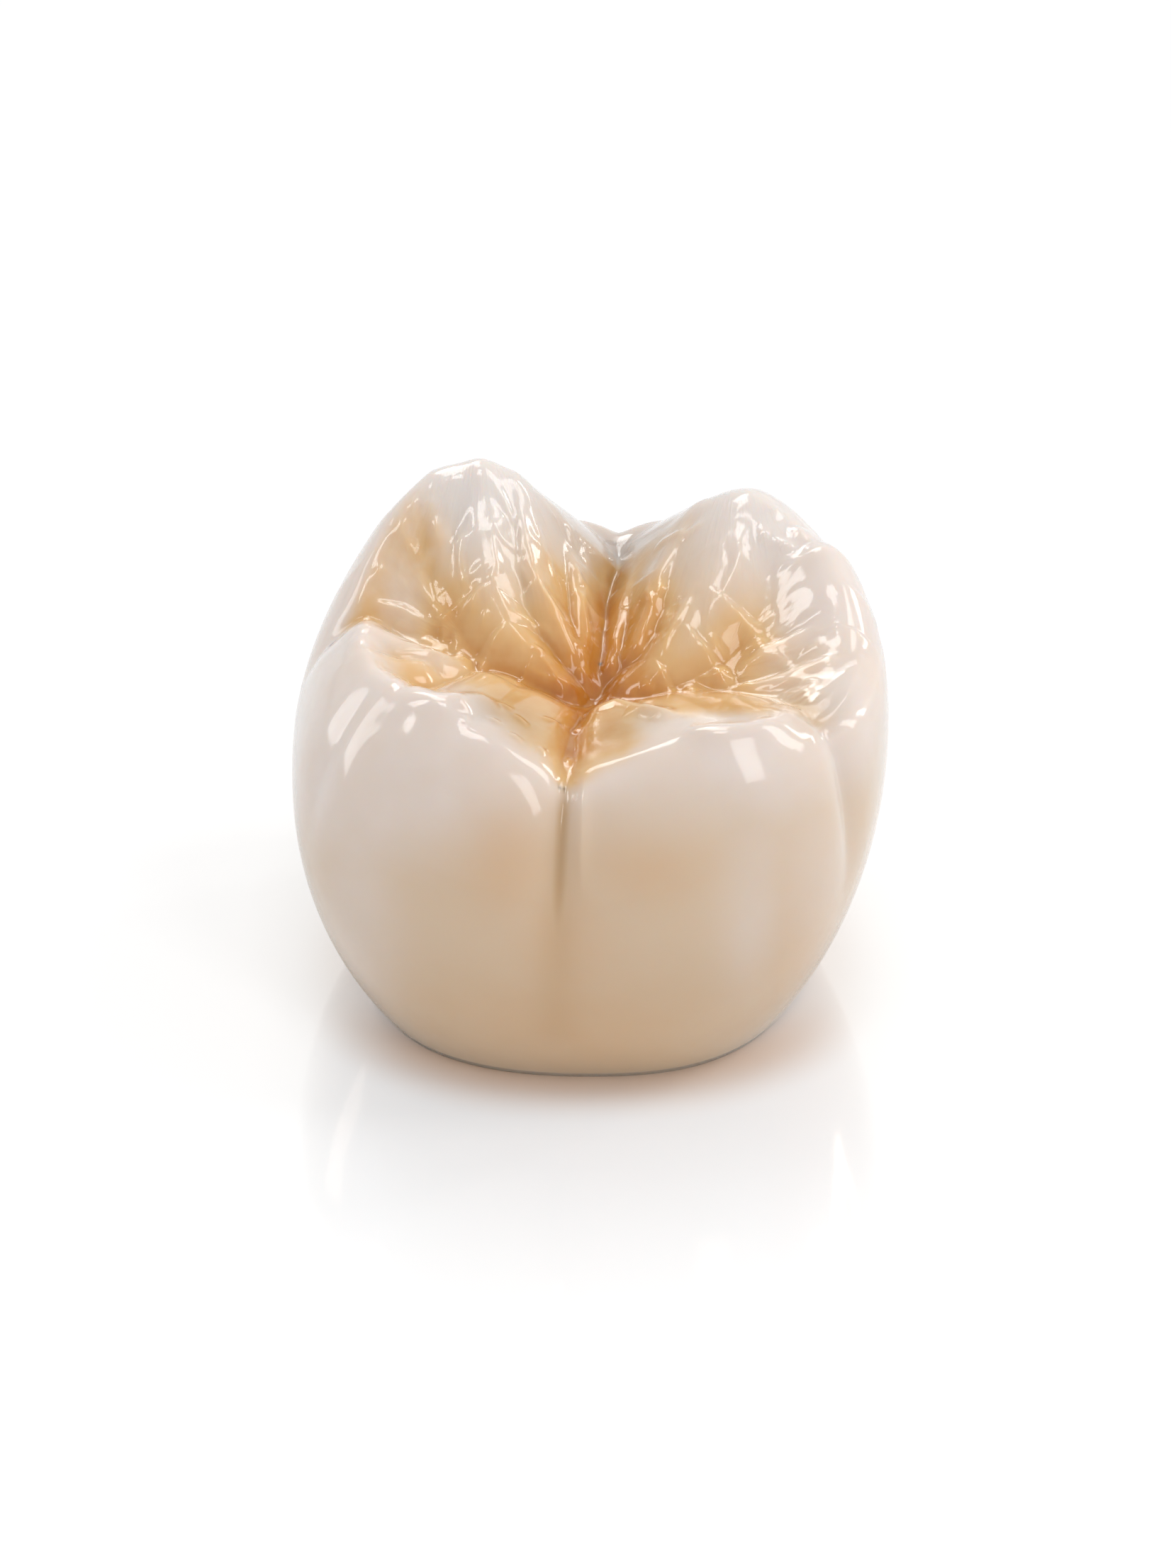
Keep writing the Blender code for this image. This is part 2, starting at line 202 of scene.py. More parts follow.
# %% [markdown]
# ## Ridges of the cusps
# A technician builds the biting surface from ridges of wax. Each ridge here is a line
# of points that starts at a cusp tip and runs down towards a pit, and its sides fall
# away like a rounded roof. Points are in percent of the half width, the half depth
# and the rise from the pit to the cusp tip, so the ridges follow the driving sizes.
# The numbers after the points say how full the back is and how steep the sides are.

# %% The ridge
RIDGE_BACK = 0.5


class Ridge:
    def __init__(self, cusp, points, fullness=1.0, slope=0.9):
        rise = TIP_HEIGHTS[cusp] - PIT_HEIGHT
        self.points = np.array(points) / 100.0 * (MESIODISTAL / 2, BUCCOLINGUAL / 2, rise)
        self.back = RIDGE_BACK * fullness
        self.slope = slope


# %% Ridges round the rim
RIM_RIDGES = (
    Ridge("mesiolingual", ((-37, 58, 100), (-52, 57, 97), (-66, 49, 85), (-75, 36, 65), (-78, 23, 46)),
          0.8, 1.25),
    Ridge("mesiolingual", ((-37, 58, 100), (-26, 60, 92), (-12, 62, 67), (2, 63, 30), (9, 64, 8)),
          0.7, 1.2),
    Ridge("distolingual", ((13, 64, 12), (22, 64, 50), (38, 61, 88), (53, 55, 100)), 0.9, 1.2),
    Ridge("distolingual", ((53, 55, 100), (66, 46, 87), (75, 37, 77)), 1.0),
    Ridge("distal", ((79, 34, 100), (83, 21, 84), (83, 6, 64), (80, -10, 46), (75, -22, 38)), 1.0),
    Ridge("distobuccal", ((3, -25, 47), (9, -23, 52), (17, -30, 58), (25, -42, 66)), 0.35, 1.1),
    Ridge("distobuccal", ((25, -42, 66), (33, -57, 86), (44, -63, 100), (55, -59, 97), (63, -49, 88),
                          (64, -38, 76)), 0.35, 0.38),
    Ridge("distobuccal", ((4, -72, 46), (14, -71, 58), (26, -70, 72), (40, -68, 86), (54, -62, 86),
                          (63, -52, 76)), 1.2, 0.6),
    Ridge("mesiobuccal", ((-13, -72, 20), (-20, -70, 33), (-30, -68, 50), (-40, -64, 67), (-50, -60, 84),
                          (-58, -58, 90)), 0.8, 0.6),
    Ridge("mesiobuccal", ((-36, -42, 80), (-44, -49, 92), (-53, -52, 98), (-60, -47, 99), (-66, -40, 95)),
          0.4, 0.9),
    Ridge("mesiobuccal", ((-66, -42, 94), (-74, -28, 88), (-78, -12, 84), (-78, 2, 83), (-76, 12, 80)),
          0.6, 1.0),
)

# %% Ridges down into the fossae
INNER_RIDGES = (
    # tongue side, from mesial to distal
    Ridge("mesiolingual", ((-76, 26, 47), (-62, 19, 38), (-49, 9, 32)), 0.35, 1.1),
    Ridge("mesiolingual", ((-73, 33, 58), (-63, 27, 48), (-51, 15, 36)), 0.35, 1.1),
    Ridge("mesiolingual", ((-66, 42, 73), (-59, 33, 58), (-51, 23, 46), (-46, 12, 37)), 0.35, 1.1),
    Ridge("mesiolingual", ((-55, 52, 88), (-47, 39, 73), (-43, 25, 57), (-39, 13, 43), (-34, 5, 33)),
          0.5, 1.2),
    Ridge("mesiolingual", ((-37, 58, 100), (-36, 37, 78), (-33, 20, 58), (-27, 9, 44), (-18, 1, 31),
                           (-9, -5, 19)), 0.9, 1.1),
    Ridge("mesiolingual", ((-25, 56, 86), (-22, 39, 70), (-18, 25, 54), (-11, 15, 39), (-6, 6, 26)),
          0.35, 1.3),
    Ridge("mesiolingual", ((-13, 60, 58), (-7, 47, 48), (-4, 31, 38), (-3, 16, 29), (-3, 3, 19)),
          0.35, 1.3),
    Ridge("distolingual", ((22, 60, 55), (14, 43, 43), (10, 24, 34), (7, 8, 22)), 0.4, 1.2),
    Ridge("distolingual", ((35, 57, 82), (24, 37, 62), (20, 21, 46), (16, 10, 34)), 0.4, 1.2),
    Ridge("distolingual", ((53, 55, 100), (45, 37, 82), (39, 23, 65), (31, 12, 48), (21, 3, 31),
                           (12, -2, 18)), 1.1),
    Ridge("distolingual", ((61, 51, 96), (55, 37, 78), (51, 25, 60), (48, 16, 46)), 0.4, 1.2),
    Ridge("distolingual", ((69, 43, 88), (62, 31, 68), (55, 20, 50)), 0.35, 1.1),
    # distal side
    Ridge("distal", ((80, 24, 82), (68, 19, 61), (56, 12, 48)), 0.35, 1.1),
    Ridge("distal", ((81, 9, 65), (68, 6, 53), (52, 1, 37)), 0.4, 1.1),
    Ridge("distal", ((79, -7, 50), (68, -9, 41), (51, -10, 27)), 0.4, 1.1),
    # cheek side, from distal to mesial
    Ridge("distobuccal", ((30, -66, 74), (22, -50, 64), (14, -36, 54), (8, -27, 48)), 1.5, 0.8),
    Ridge("distobuccal", ((8, -70, 52), (6, -50, 48), (5, -34, 44)), 1.2, 0.8),
    Ridge("mesiobuccal", ((-18, -70, 36), (-13, -48, 30), (-8, -28, 22)), 0.8, 0.7),
    Ridge("mesiobuccal", ((-28, -67, 58), (-20, -45, 48), (-13, -24, 34)), 0.9, 0.7),
    Ridge("mesiobuccal", ((-40, -62, 80), (-31, -40, 62), (-23, -20, 46), (-17, -12, 34)), 0.9, 0.7),
    Ridge("mesiobuccal", ((-52, -54, 95), (-43, -34, 76), (-35, -17, 60), (-28, -9, 46)), 0.8, 0.8),
    Ridge("mesiobuccal", ((-77, 4, 83), (-63, -1, 70), (-50, -5, 60), (-42, -3, 52)), 0.5, 0.9),
    Ridge("mesiobuccal", ((-78, -14, 84), (-66, -16, 74), (-57, -12, 65)), 0.5, 0.9),
)
print("ridges:", len(RIM_RIDGES), "round the rim,", len(INNER_RIDGES), "into the fossae")

# %% [markdown]
# ## The carved grooves
# Between the ridges the technician draws the main grooves with a sharp instrument.
# Their points are in percent of the half width and half depth.

# %% Grooves
def in_mm(percent_points):
    return np.array(percent_points) / 100.0 * (MESIODISTAL / 2, BUCCOLINGUAL / 2)


class Groove:
    def __init__(self, points, depth, width=0.20):
        self.points = in_mm(points)
        self.depth = depth
        self.width = width


CENTRAL_MESIAL = ((2, -6), (-9, -11), (-23, -6), (-33, -3), (-40, 5), (-45, 12))
MESIAL_BRANCH = ((-45, 12), (-51, 25), (-56, 34))
CENTRAL_DISTAL = ((2, -6), (10, -11), (22, -9), (35, -4), (42, -1), (50, 6))
LINGUAL = ((2, -6), (0, 5), (1, 18), (4, 38), (7, 50), (10, 60), (11, 72))
BUCCAL = ((2, -6), (-2, -19), (-6, -33), (-8, -49), (-10, -68), (-10, -84))
MESIOBUCCAL_SIDE = ((-38, -2), (-48, -19), (-53, -28), (-63, -43))
DISTOBUCCAL = ((36, -5), (51, -12), (62, -19), (70, -32), (74, -46))
MESIAL_MARGINAL = ((-47, 9), (-64, 15), (-76, 16), (-86, 18))
GROOVES = (
    Groove(CENTRAL_MESIAL, 0.12),
    Groove(MESIAL_BRANCH, 0.06),
    Groove(CENTRAL_DISTAL, 0.10),
    Groove(LINGUAL, 0.09),
    Groove(BUCCAL, 0.14),
    Groove(MESIOBUCCAL_SIDE, 0.10),
    Groove(DISTOBUCCAL, 0.10),
    Groove(MESIAL_MARGINAL, 0.14),
)
print("grooves:", len(GROOVES))

# %% [markdown]
# ## The biting surface as a relief
# The biting surface has one height over each place in the plan, so it can be worked
# out once on a fine grid, like a relief map. Later steps only look heights up. The
# highest ridge wins at each place, and a soft maximum leaves a small radius in the
# valleys. A shallow bowl lies under all ridges. Beyond its lower end a stretch of a
# ridge keeps falling, so that no knob stands where two stretches meet.

# %% A grid over the plan
GRID_STEP = 0.02
GRID_X = np.arange(-5.6, 5.6 + GRID_STEP / 2, GRID_STEP)
GRID_Y = np.arange(-5.2, 5.2 + GRID_STEP / 2, GRID_STEP)
PLAN_X, PLAN_Y = np.meshgrid(GRID_X, GRID_Y, indexing="ij")
BOWL_RISES = {"distal": 1.3, "lingual": 1.3, "mesial": 1.5, "buccal": 0.8}
BOWL_POWER = 1.5
VALLEY_RADIUS = 0.04
print("relief grid:", PLAN_X.shape)


# %% Heights of ridges, bowl and grooves
def along_line(x, y, points):
    """The distance to a line of points, and the share along each stretch of it."""
    points = np.asarray(points, float)
    for start, end in zip(points[:-1], points[1:]):
        run = end[:2] - start[:2]
        share = ((x - start[0]) * run[0] + (y - start[1]) * run[1]) / (run @ run)
        share = np.clip(share, 0.0, 1.0)
        aside = np.hypot(x - start[0] - share * run[0], y - start[1] - share * run[1])
        yield start, end, share, aside


def past_lower_end(x, y, start, end):
    """How far a place lies beyond the lower end of a stretch, times its gradient."""
    run = end - start
    length = np.hypot(run[0], run[1])
    reach = ((x - start[0]) * run[0] + (y - start[1]) * run[1]) / length
    beyond = reach - length if run[2] < 0.0 else -reach
    return np.maximum(beyond, 0.0) * abs(run[2]) / length


def ridge_height(x, y, ridge):
    best = np.full(np.shape(x), -np.inf)
    for start, end, share, aside in along_line(x, y, ridge.points):
        roof = np.sqrt(1.0 + (ridge.slope * aside / ridge.back) ** 2) - 1.0
        fall = ridge.back * roof + past_lower_end(x, y, start, end)
        best = np.maximum(best, start[2] + share * (end[2] - start[2]) - fall)
    return PIT_HEIGHT + best


def bowl_height(x, y):
    azimuth = np.arctan2(y, x)
    out = np.hypot(x / (MESIODISTAL / 2), y / (BUCCOLINGUAL / 2))
    return PIT_HEIGHT + by_side(azimuth, BOWL_RISES) * np.minimum(out, 1.0) ** BOWL_POWER


def line_distance(x, y, points):
    return np.min([aside for _, _, _, aside in along_line(x, y, points)], axis=0)


def carved_depth(x, y):
    deepest = np.zeros(np.shape(x))
    for groove in GROOVES:
        aside = line_distance(x, y, groove.points)
        deepest = np.maximum(deepest, groove.depth * np.exp(-((aside / groove.width) ** 1.5)))
    return deepest


def waxed_relief(x, y):
    layers = [ridge_height(x, y, ridge) for ridge in RIM_RIDGES + INNER_RIDGES]
    layers = np.array(layers + [bowl_height(x, y)])
    top = layers.max(axis=0)
    spread = np.exp((layers - top) / VALLEY_RADIUS).sum(axis=0)
    return top + VALLEY_RADIUS * np.log(spread) - carved_depth(x, y)


RELIEF = waxed_relief(PLAN_X, PLAN_Y)
print("relief from %.2f to %.2f mm" % (RELIEF.min(), RELIEF.max()))

# %% [markdown]
# ## Fine wrinkles
# Fired porcelain keeps the strokes of the brush: fine ridges, a few hundredths of a
# millimetre high, that run down from the cusps and fan out from the fossae, which are
# the hollows round the pits. Each one catches a thread of light. They are stamped on
# the relief one by one, which only touches a small window of the grid and so is quick.

# %% Stamp one wrinkle
WRINKLE_REACH = 4.0
BLUNT_END = 0.02
FADE_POWER = 0.7


def stamp(points, height, width):
    """Adds a fine ridge along a line of plan points, fading towards both its ends."""
    points = np.asarray(points, float)
    low = points.min(axis=0) - WRINKLE_REACH * width
    high = points.max(axis=0) + WRINKLE_REACH * width
    i0, i1 = np.searchsorted(GRID_X, (low[0], high[0]))
    j0, j1 = np.searchsorted(GRID_Y, (low[1], high[1]))
    x, y = PLAN_X[i0:i1, j0:j1], PLAN_Y[i0:i1, j0:j1]
    if x.size == 0:
        return
    stretches = len(points) - 1
    nearest = np.full(x.shape, np.inf)
    share_at = np.zeros(x.shape)
    for number, (_, _, share, aside) in enumerate(along_line(x, y, points)):
        closer = aside < nearest
        nearest = np.where(closer, aside, nearest)
        share_at = np.where(closer, (number + share) / stretches, share_at)
    fade = np.sin(np.pi * np.clip(share_at, BLUNT_END, 1.0 - BLUNT_END)) ** FADE_POWER
    RELIEF[i0:i1, j0:j1] += height * fade * bell(nearest, width)


# %% [markdown]
# ## Strokes, beads and fans
# A stroke is a short line where one clear thread of light is seen. A bead is a fuller
# ridge along a rim, where the glaze has drawn itself together. A fan fills a slope
# with wrinkles that start at random distances from one centre. The draws have a fixed
# seed, so each run gives the same crown.

# %% Strokes placed one by one
STROKE_HEIGHT = 0.055
STROKE_WIDTH = 0.080
STROKES = (
    # mesiolingual cusp
    ((-3.5, 1.9), (-3.2, 1.8)),
    ((-3.8, 1.6), (-3.5, 1.4), (-3.2, 1.2)),
    ((-3.2, 1.8), (-3.0, 1.6)),
    ((-2.9, 1.4), (-2.5, 0.6)),
    ((-2.4, 2.1), (-2.4, 1.5), (-2.3, 0.9)),
    ((-2.8, 2.2), (-2.9, 1.8)),
    ((-2.1, 0.9), (-2.2, 0.5)),
    ((-1.9, 0.6), (-2.0, 0.3)),
    ((-1.8, 2.2), (-1.8, 1.8), (-1.7, 1.3), (-1.8, 1.1), (-1.6, 0.7)),
    ((-1.5, 0.6), (-1.1, 0.7), (-0.8, 0.6), (-0.6, 0.4)),
    ((-1.3, 2.0), (-1.3, 1.5), (-1.0, 1.1)),
    ((-1.1, 1.5), (-0.8, 1.1), (-0.4, 0.8)),
    ((-1.1, 2.6), (-0.9, 2.2), (-0.9, 1.7)),
    ((-0.8, 2.1), (-0.6, 1.6)),
    ((-1.7, 2.6), (-1.4, 2.2)),
    ((-0.4, 3.1), (-0.3, 2.7)),
    ((-0.3, 2.3), (-0.1, 1.9)),
    ((-0.1, 2.8), (0.0, 2.5)),
    ((0.0, 2.2), (-0.1, 1.5), (0.0, 0.9), (-0.1, 0.3)),
    ((-0.3, 0.7), (-0.1, 0.3)),
    ((-1.1, 0.1), (-0.8, 0.1)),
    ((-0.9, 0.0), (-0.6, -0.3), (-0.3, -0.3)),
    ((-1.4, -0.2), (-1.0, -0.3), (-0.5, -0.4), (0.0, -0.1)),
    # round the mesial fossa
    ((-4.0, 1.1), (-3.4, 1.0)),
    ((-3.7, 1.1), (-3.1, 0.8)),
    ((-4.0, 1.4), (-3.8, 1.6)),
    ((-3.1, 1.3), (-2.6, 0.6)),
    ((-2.9, 0.8), (-2.6, 0.5)),
    ((-3.6, 0.8), (-3.3, 0.8)),
    ((-3.4, -0.2), (-2.9, -0.2), (-2.5, -0.2)),
    ((-2.5, 0.2), (-2.2, -0.1)),
    # distolingual cusp
    ((0.3, 2.9), (0.3, 2.3)),
    ((2.1, 2.6), (1.6, 2.4)),
    ((1.8, 2.5), (1.2, 2.8)),
    ((1.9, 1.2), (1.6, 0.7), (1.4, 0.4), (1.3, 0.1)),
    ((1.2, 1.4), (1.4, 1.6)),
    ((1.0, 1.7), (1.1, 1.2)),
    ((0.5, 0.9), (0.5, 0.5)),
    ((1.4, -0.1), (1.1, -0.3)),
    ((0.9, -0.3), (1.2, -0.4)),
    ((2.9, 1.9), (2.6, 1.3), (2.4, 0.9)),
    ((3.1, 2.2), (3.3, 1.9)),
    ((3.4, 2.0), (3.8, 1.8)),
    # round the distal fossa
    ((2.2, 0.4), (2.3, 0.2), (2.5, 0.1)),
    ((2.8, 0.2), (3.3, 0.4)),
    ((2.3, -0.3), (2.5, 0.0)),
    ((3.2, 0.4), (3.6, 0.6)),
    ((3.0, 0.6), (3.4, 0.9)),
    ((3.0, 0.0), (3.4, 0.0), (3.9, -0.4)),
    ((2.6, -0.4), (3.0, -0.4)),
    ((3.4, -0.7), (3.8, -0.6)),
    ((3.8, -0.6), (4.1, -0.9), (3.9, -1.1)),
    ((3.5, -0.8), (3.9, -1.1), (4.0, -1.5)),
    ((1.7, -0.4), (2.0, -0.5)),
    ((4.1, -0.1), (4.2, 0.2)),
    # on the cheek side cusps
    ((-2.3, -2.9), (-2.2, -3.1)),
    ((-1.9, -2.7), (-1.6, -2.8)),
    ((-1.7, -1.9), (-1.4, -2.1)),
    ((-1.4, -2.2), (-1.1, -2.5)),
    ((-0.9, -1.9), (-0.6, -1.9), (-0.7, -2.3)),
    ((-1.5, -3.0), (-1.2, -3.1)),
    ((-0.9, -3.0), (-0.8, -3.2)),
    ((-0.4, -3.1), (-0.4, -2.8)),
    ((-0.3, -1.9), (-0.2, -1.7)),
)
RIM_BEADS = (
    # the rim of the mesial cheek side cusp
    ((-3.75, -2.2), (-3.5, -2.55), (-3.1, -2.65), (-2.7, -2.8), (-2.4, -2.7), (-2.2, -2.4)),
    # the hump and the lip of the distal cheek side cusp
    ((0.6, -1.6), (1.0, -1.7), (1.3, -2.0), (1.5, -2.5)),
    ((1.7, -3.0), (2.0, -3.25), (2.4, -3.35), (3.0, -3.2), (3.45, -2.8), (3.6, -2.2)),
)
BEAD_HEIGHT = 0.12
BEAD_WIDTH = 0.21
print("strokes:", len(STROKES), "and beads:", len(RIM_BEADS))

# %% Fans of wrinkles
class Fan:
    """Wrinkles that run out from a centre, between two directions and two distances."""

    def __init__(self, centre, directions, reach, count, height=0.022, width=0.055, length=0.7):
        self.centre = np.array(centre)
        self.directions = np.radians(directions)
        self.reach = reach
        self.count = count
        self.height = height
        self.width = width
        self.length = length


FANS = (
    # broad soft lobes down the tongue side cusps and out of the fossae
    Fan((-2.0, 4.0), (238, 318), (1.4, 3.6), 16, height=0.035, width=0.14, length=1.6),
    Fan((2.7, 3.8), (210, 295), (1.4, 3.6), 14, height=0.032, width=0.14, length=1.5),
    Fan((-2.15, 0.30), (95, 195), (0.5, 2.2), 12, height=0.040, width=0.12, length=1.2),
    Fan((2.30, -0.15), (-12, 75), (0.5, 2.1), 12, height=0.020, width=0.14, length=1.1),
    # fine wrinkles out of the mesial and the distal fossa
    Fan((-2.15, 0.30), (95, 195), (0.4, 2.4), 18, height=0.026, width=0.070),
    Fan((2.30, -0.15), (-12, 75), (0.4, 2.3), 14, height=0.013, width=0.080),
    # fine wrinkles down the tongue side cusps
    Fan((-2.0, 4.0), (238, 318), (1.4, 3.6), 20, height=0.024, width=0.075),
    Fan((2.7, 3.8), (210, 295), (1.4, 3.6), 16, height=0.020, width=0.080),
)
WRINKLE_SEED = 11
SWAY = 0.12


def stamp_fans():
    draw = np.random.default_rng(WRINKLE_SEED)
    for fan in FANS:
        for _ in range(fan.count):
            direction = draw.uniform(*fan.directions)
            near = draw.uniform(*fan.reach)
            length = fan.length * draw.uniform(0.5, 1.3)
            sway = draw.normal(0.0, SWAY)
            steps = np.linspace(0.0, 1.0, 5)
            angle = direction + sway * np.sin(np.pi * steps) + 0.5 * sway * steps
            out = np.minimum(near + length * steps, fan.reach[1])
            line = fan.centre + out[:, None] * np.stack([np.cos(angle), np.sin(angle)], axis=-1)
            height = fan.height * draw.uniform(0.4, 1.3) * draw.choice((1.0, 1.0, -0.7))
            stamp(line, height, fan.width * draw.uniform(0.7, 1.5))


SMOOTH_RELIEF = RELIEF.copy()
stamp_fans()
for stroke in STROKES:
    stamp(stroke, STROKE_HEIGHT, STROKE_WIDTH)
for bead in RIM_BEADS:
    stamp(bead, BEAD_HEIGHT, BEAD_WIDTH)
print("wrinkles stamped:", sum(fan.count for fan in FANS) + len(STROKES) + len(RIM_BEADS))

# %% [markdown]
# ## Looking the relief up
# A plan place falls between four grid points, and its height is their weighted mean.
# The skin of the crown is where the wall and the relief meet, rounded over at the
# shoulder.

# %% Look a table up
def look_up(table, x, y):
    across = np.clip((x - GRID_X[0]) / GRID_STEP, 0, len(GRID_X) - 1.001)
    along = np.clip((y - GRID_Y[0]) / GRID_STEP, 0, len(GRID_Y) - 1.001)
    i, j = across.astype(int), along.astype(int)
    u, v = across - i, along - j
    return (
        table[i, j] * (1 - u) * (1 - v)
        + table[i + 1, j] * u * (1 - v)
        + table[i, j + 1] * (1 - u) * v
        + table[i + 1, j + 1] * u * v
    )


def to_wall_and_top(x, y, z):
    azimuth = np.arctan2(y, x)
    to_wall = wall_radius(azimuth, z) - np.hypot(x, y)
    to_top = SLOPE_SHARE * (look_up(RELIEF, x, y) - z)
    return to_wall, to_top


def inside_skin(x, y, z):
    to_wall, to_top = to_wall_and_top(x, y, z)
    return smooth_min(to_wall, to_top, SHOULDER_RADIUS)


# %% [markdown]
# ## The hollow for the stump
# The crown is a shell. Its hollow has a thin lip at the margin, a rounded chamfer, a
# slightly tapering wall and a roof that follows the cusps a little.

# %% Shape of the hollow
LIP_WIDTH = 0.25
MARGIN_WIDTH = 0.80
CHAMFER_HEIGHT = 0.60
STUMP_TAPER = 0.07
OCCLUSAL_THICKNESS = 1.20
ROOF_RISE = 0.45
ROOF_SLOPE_WIDTH = 2.5
STUMP_CORNER_RADIUS = 0.6


def stump_radius(azimuth, height):
    chamfer = np.clip(1.0 - height / CHAMFER_HEIGHT, 0.0, 1.0)
    inset = MARGIN_WIDTH - (MARGIN_WIDTH - LIP_WIDTH) * chamfer**2
    return margin_radius(azimuth) - inset - STUMP_TAPER * np.maximum(height, 0.0)


def inside_stump(x, y, z):
    azimuth = np.arctan2(y, x)
    to_wall = stump_radius(azimuth, z) - np.hypot(x, y)
    roof = PIT_HEIGHT - OCCLUSAL_THICKNESS + ROOF_RISE * smoothstep(0.0, ROOF_SLOPE_WIDTH, np.abs(y))
    return smooth_min(to_wall, roof - z, STUMP_CORNER_RADIUS)


# %% [markdown]
# ## Rays from a hub
# A hub on the axis, under the biting surface, sees every point of both skins. Rays
# from it are shortened by halving until they end on the skin. The cap is a square
# grid of rays pressed into a disc, which keeps its cells even, and rings of rays go
# down the wall below it. The grid is finest in the middle, where the wrinkles are.

# %% Cast rays
HUB_HEIGHT = 1.8
CAP_ELEVATION = 45.0
RAY_REACH = 12.0
HALVINGS = 24
CENTRE_BIAS = 0.45


def cast(directions, inside):
    near = np.zeros(len(directions))
    far = np.full(len(directions), RAY_REACH)
    for _ in range(HALVINGS):
        middle = (near + far) / 2
        x, y, z = (directions * middle[:, None]).T
        within = inside(x, y, z + HUB_HEIGHT) > 0.0
        near = np.where(within, middle, near)
        far = np.where(within, far, middle)
    points = directions * near[:, None]
    points[:, 2] += HUB_HEIGHT
    return points


def cap_directions(cells):
    steps = np.linspace(-1.0, 1.0, cells + 1)
    steps = steps * (1.0 - CENTRE_BIAS) + CENTRE_BIAS * steps**3
    across, along = np.meshgrid(steps, steps, indexing="ij")
    disc_x = across * np.sqrt(1.0 - along**2 / 2)
    disc_y = along * np.sqrt(1.0 - across**2 / 2)
    lean = np.hypot(disc_x, disc_y) * math.radians(90.0 - CAP_ELEVATION)
    azimuth = np.arctan2(disc_y, disc_x)
    level = np.sin(lean)
    return np.stack([level * np.cos(azimuth), level * np.sin(azimuth), np.cos(lean)], axis=-1)


# %% Grid and ring faces
def rim_of(grid):
    """The border of a square grid, once round, anticlockwise seen from above."""
    return np.concatenate([grid[:-1, 0], grid[-1, :-1], grid[:0:-1, -1], grid[0, :0:-1]])


def grid_faces(index):
    quads = np.stack([index[:-1, :-1], index[1:, :-1], index[1:, 1:], index[:-1, 1:]], axis=-1)
    return quads.reshape(-1, 4).tolist()


def ring_faces(above, below):
    quads = np.stack([above, below, np.roll(below, -1), np.roll(above, -1)], axis=-1)
    return quads.tolist()


def halving_faces(fine, coarse):
    """Joins a ring to one with half as many points, three triangles at a time."""
    start, middle, end = fine[0::2], fine[1::2], np.roll(fine[0::2], -1)
    ahead = np.roll(coarse, -1)
    triangles = [(start, coarse, middle), (middle, coarse, ahead), (middle, ahead, end)]
    return np.concatenate([np.stack(t, axis=-1) for t in triangles]).tolist()


# %% [markdown]
# ## One skin from cap to margin
# `skin` makes the points and faces of a cap and its rings, and numbers its points
# from `first`. The outer skin halves its number of columns below the cap, because the
# smooth wall needs fewer of them. The hollow's skin is turned inside out and joined
# to the outer one along the margin.

# %% Build a skin
def skin(inside, foot_radius, cells, rings, halve, first):
    directions = cap_directions(cells)
    points = [cast(directions.reshape(-1, 3), inside)]
    index = first + np.arange((cells + 1) ** 2).reshape(cells + 1, cells + 1)
    faces = grid_faces(index)
    border = rim_of(directions)
    above = rim_of(index)
    if halve:
        border = border[0::2]
    azimuth = np.arctan2(border[:, 1], border[:, 0])
    foot = foot_radius(azimuth)
    foot_elevation = np.arctan2(-HUB_HEIGHT, foot)
    count = first + (cells + 1) ** 2
    for ring in range(1, rings + 1):
        share = ring / rings
        elevation = math.radians(CAP_ELEVATION) * (1 - share) + foot_elevation * share
        level = np.cos(elevation)
        rays = [level * np.cos(azimuth), level * np.sin(azimuth), np.sin(elevation)]
        places = cast(np.stack(rays, axis=-1), inside)
        if ring == rings:
            places = np.stack([foot * np.cos(azimuth), foot * np.sin(azimuth), 0.0 * foot], axis=-1)
        points.append(places)
        below = count + np.arange(len(azimuth))
        count += len(azimuth)
        join = halving_faces if len(above) > len(below) else ring_faces
        faces += join(above, below)
        above = below
    return np.concatenate(points), faces, above


# %% Make the crown's mesh
SKIN_CELLS = 272
SKIN_RINGS = 26
STUMP_CELLS = SKIN_CELLS // 4
STUMP_RINGS = 10
SHARP_ANGLE = math.radians(70.0)


def stump_foot_radius(azimuth):
    return stump_radius(azimuth, 0.0)


outer_points, outer_faces, outer_foot = skin(
    inside_skin, margin_radius, SKIN_CELLS, SKIN_RINGS, halve=True, first=0
)
stump_points, stump_faces, stump_foot = skin(
    inside_stump, stump_foot_radius, STUMP_CELLS, STUMP_RINGS, halve=False, first=len(outer_points)
)
points = np.concatenate([outer_points, stump_points])
faces = outer_faces + [face[::-1] for face in stump_faces] + halving_faces(outer_foot, stump_foot)
mesh = bpy.data.meshes.new("porcelain_crown")
mesh.from_pydata((points * MM).tolist(), [], faces)
mesh.shade_smooth()
mesh.set_sharp_from_angle(angle=SHARP_ANGLE)
crown = bpy.data.objects.new("porcelain_crown", mesh)
bpy.context.scene.collection.objects.link(crown)
print("crown mesh:", len(points), "points,", sum(len(face) - 2 for face in faces), "triangles")

# %% [markdown]
# ## Where the stains lie
# Before the glaze the technician paints amber stain into the pits and grooves. Each
# stroke of stain here is a line of plan points, with its strength and its width in
# millimetres. A blurred copy of the relief shows what is a valley and what is a
# ridge, so the ridges stay pale and the finest creases take a little more stain.

# %% Blur a table
BLUR_BORDER = 60
VALLEY_BLUR, CREASE_BLUR = 0.45, 0.12


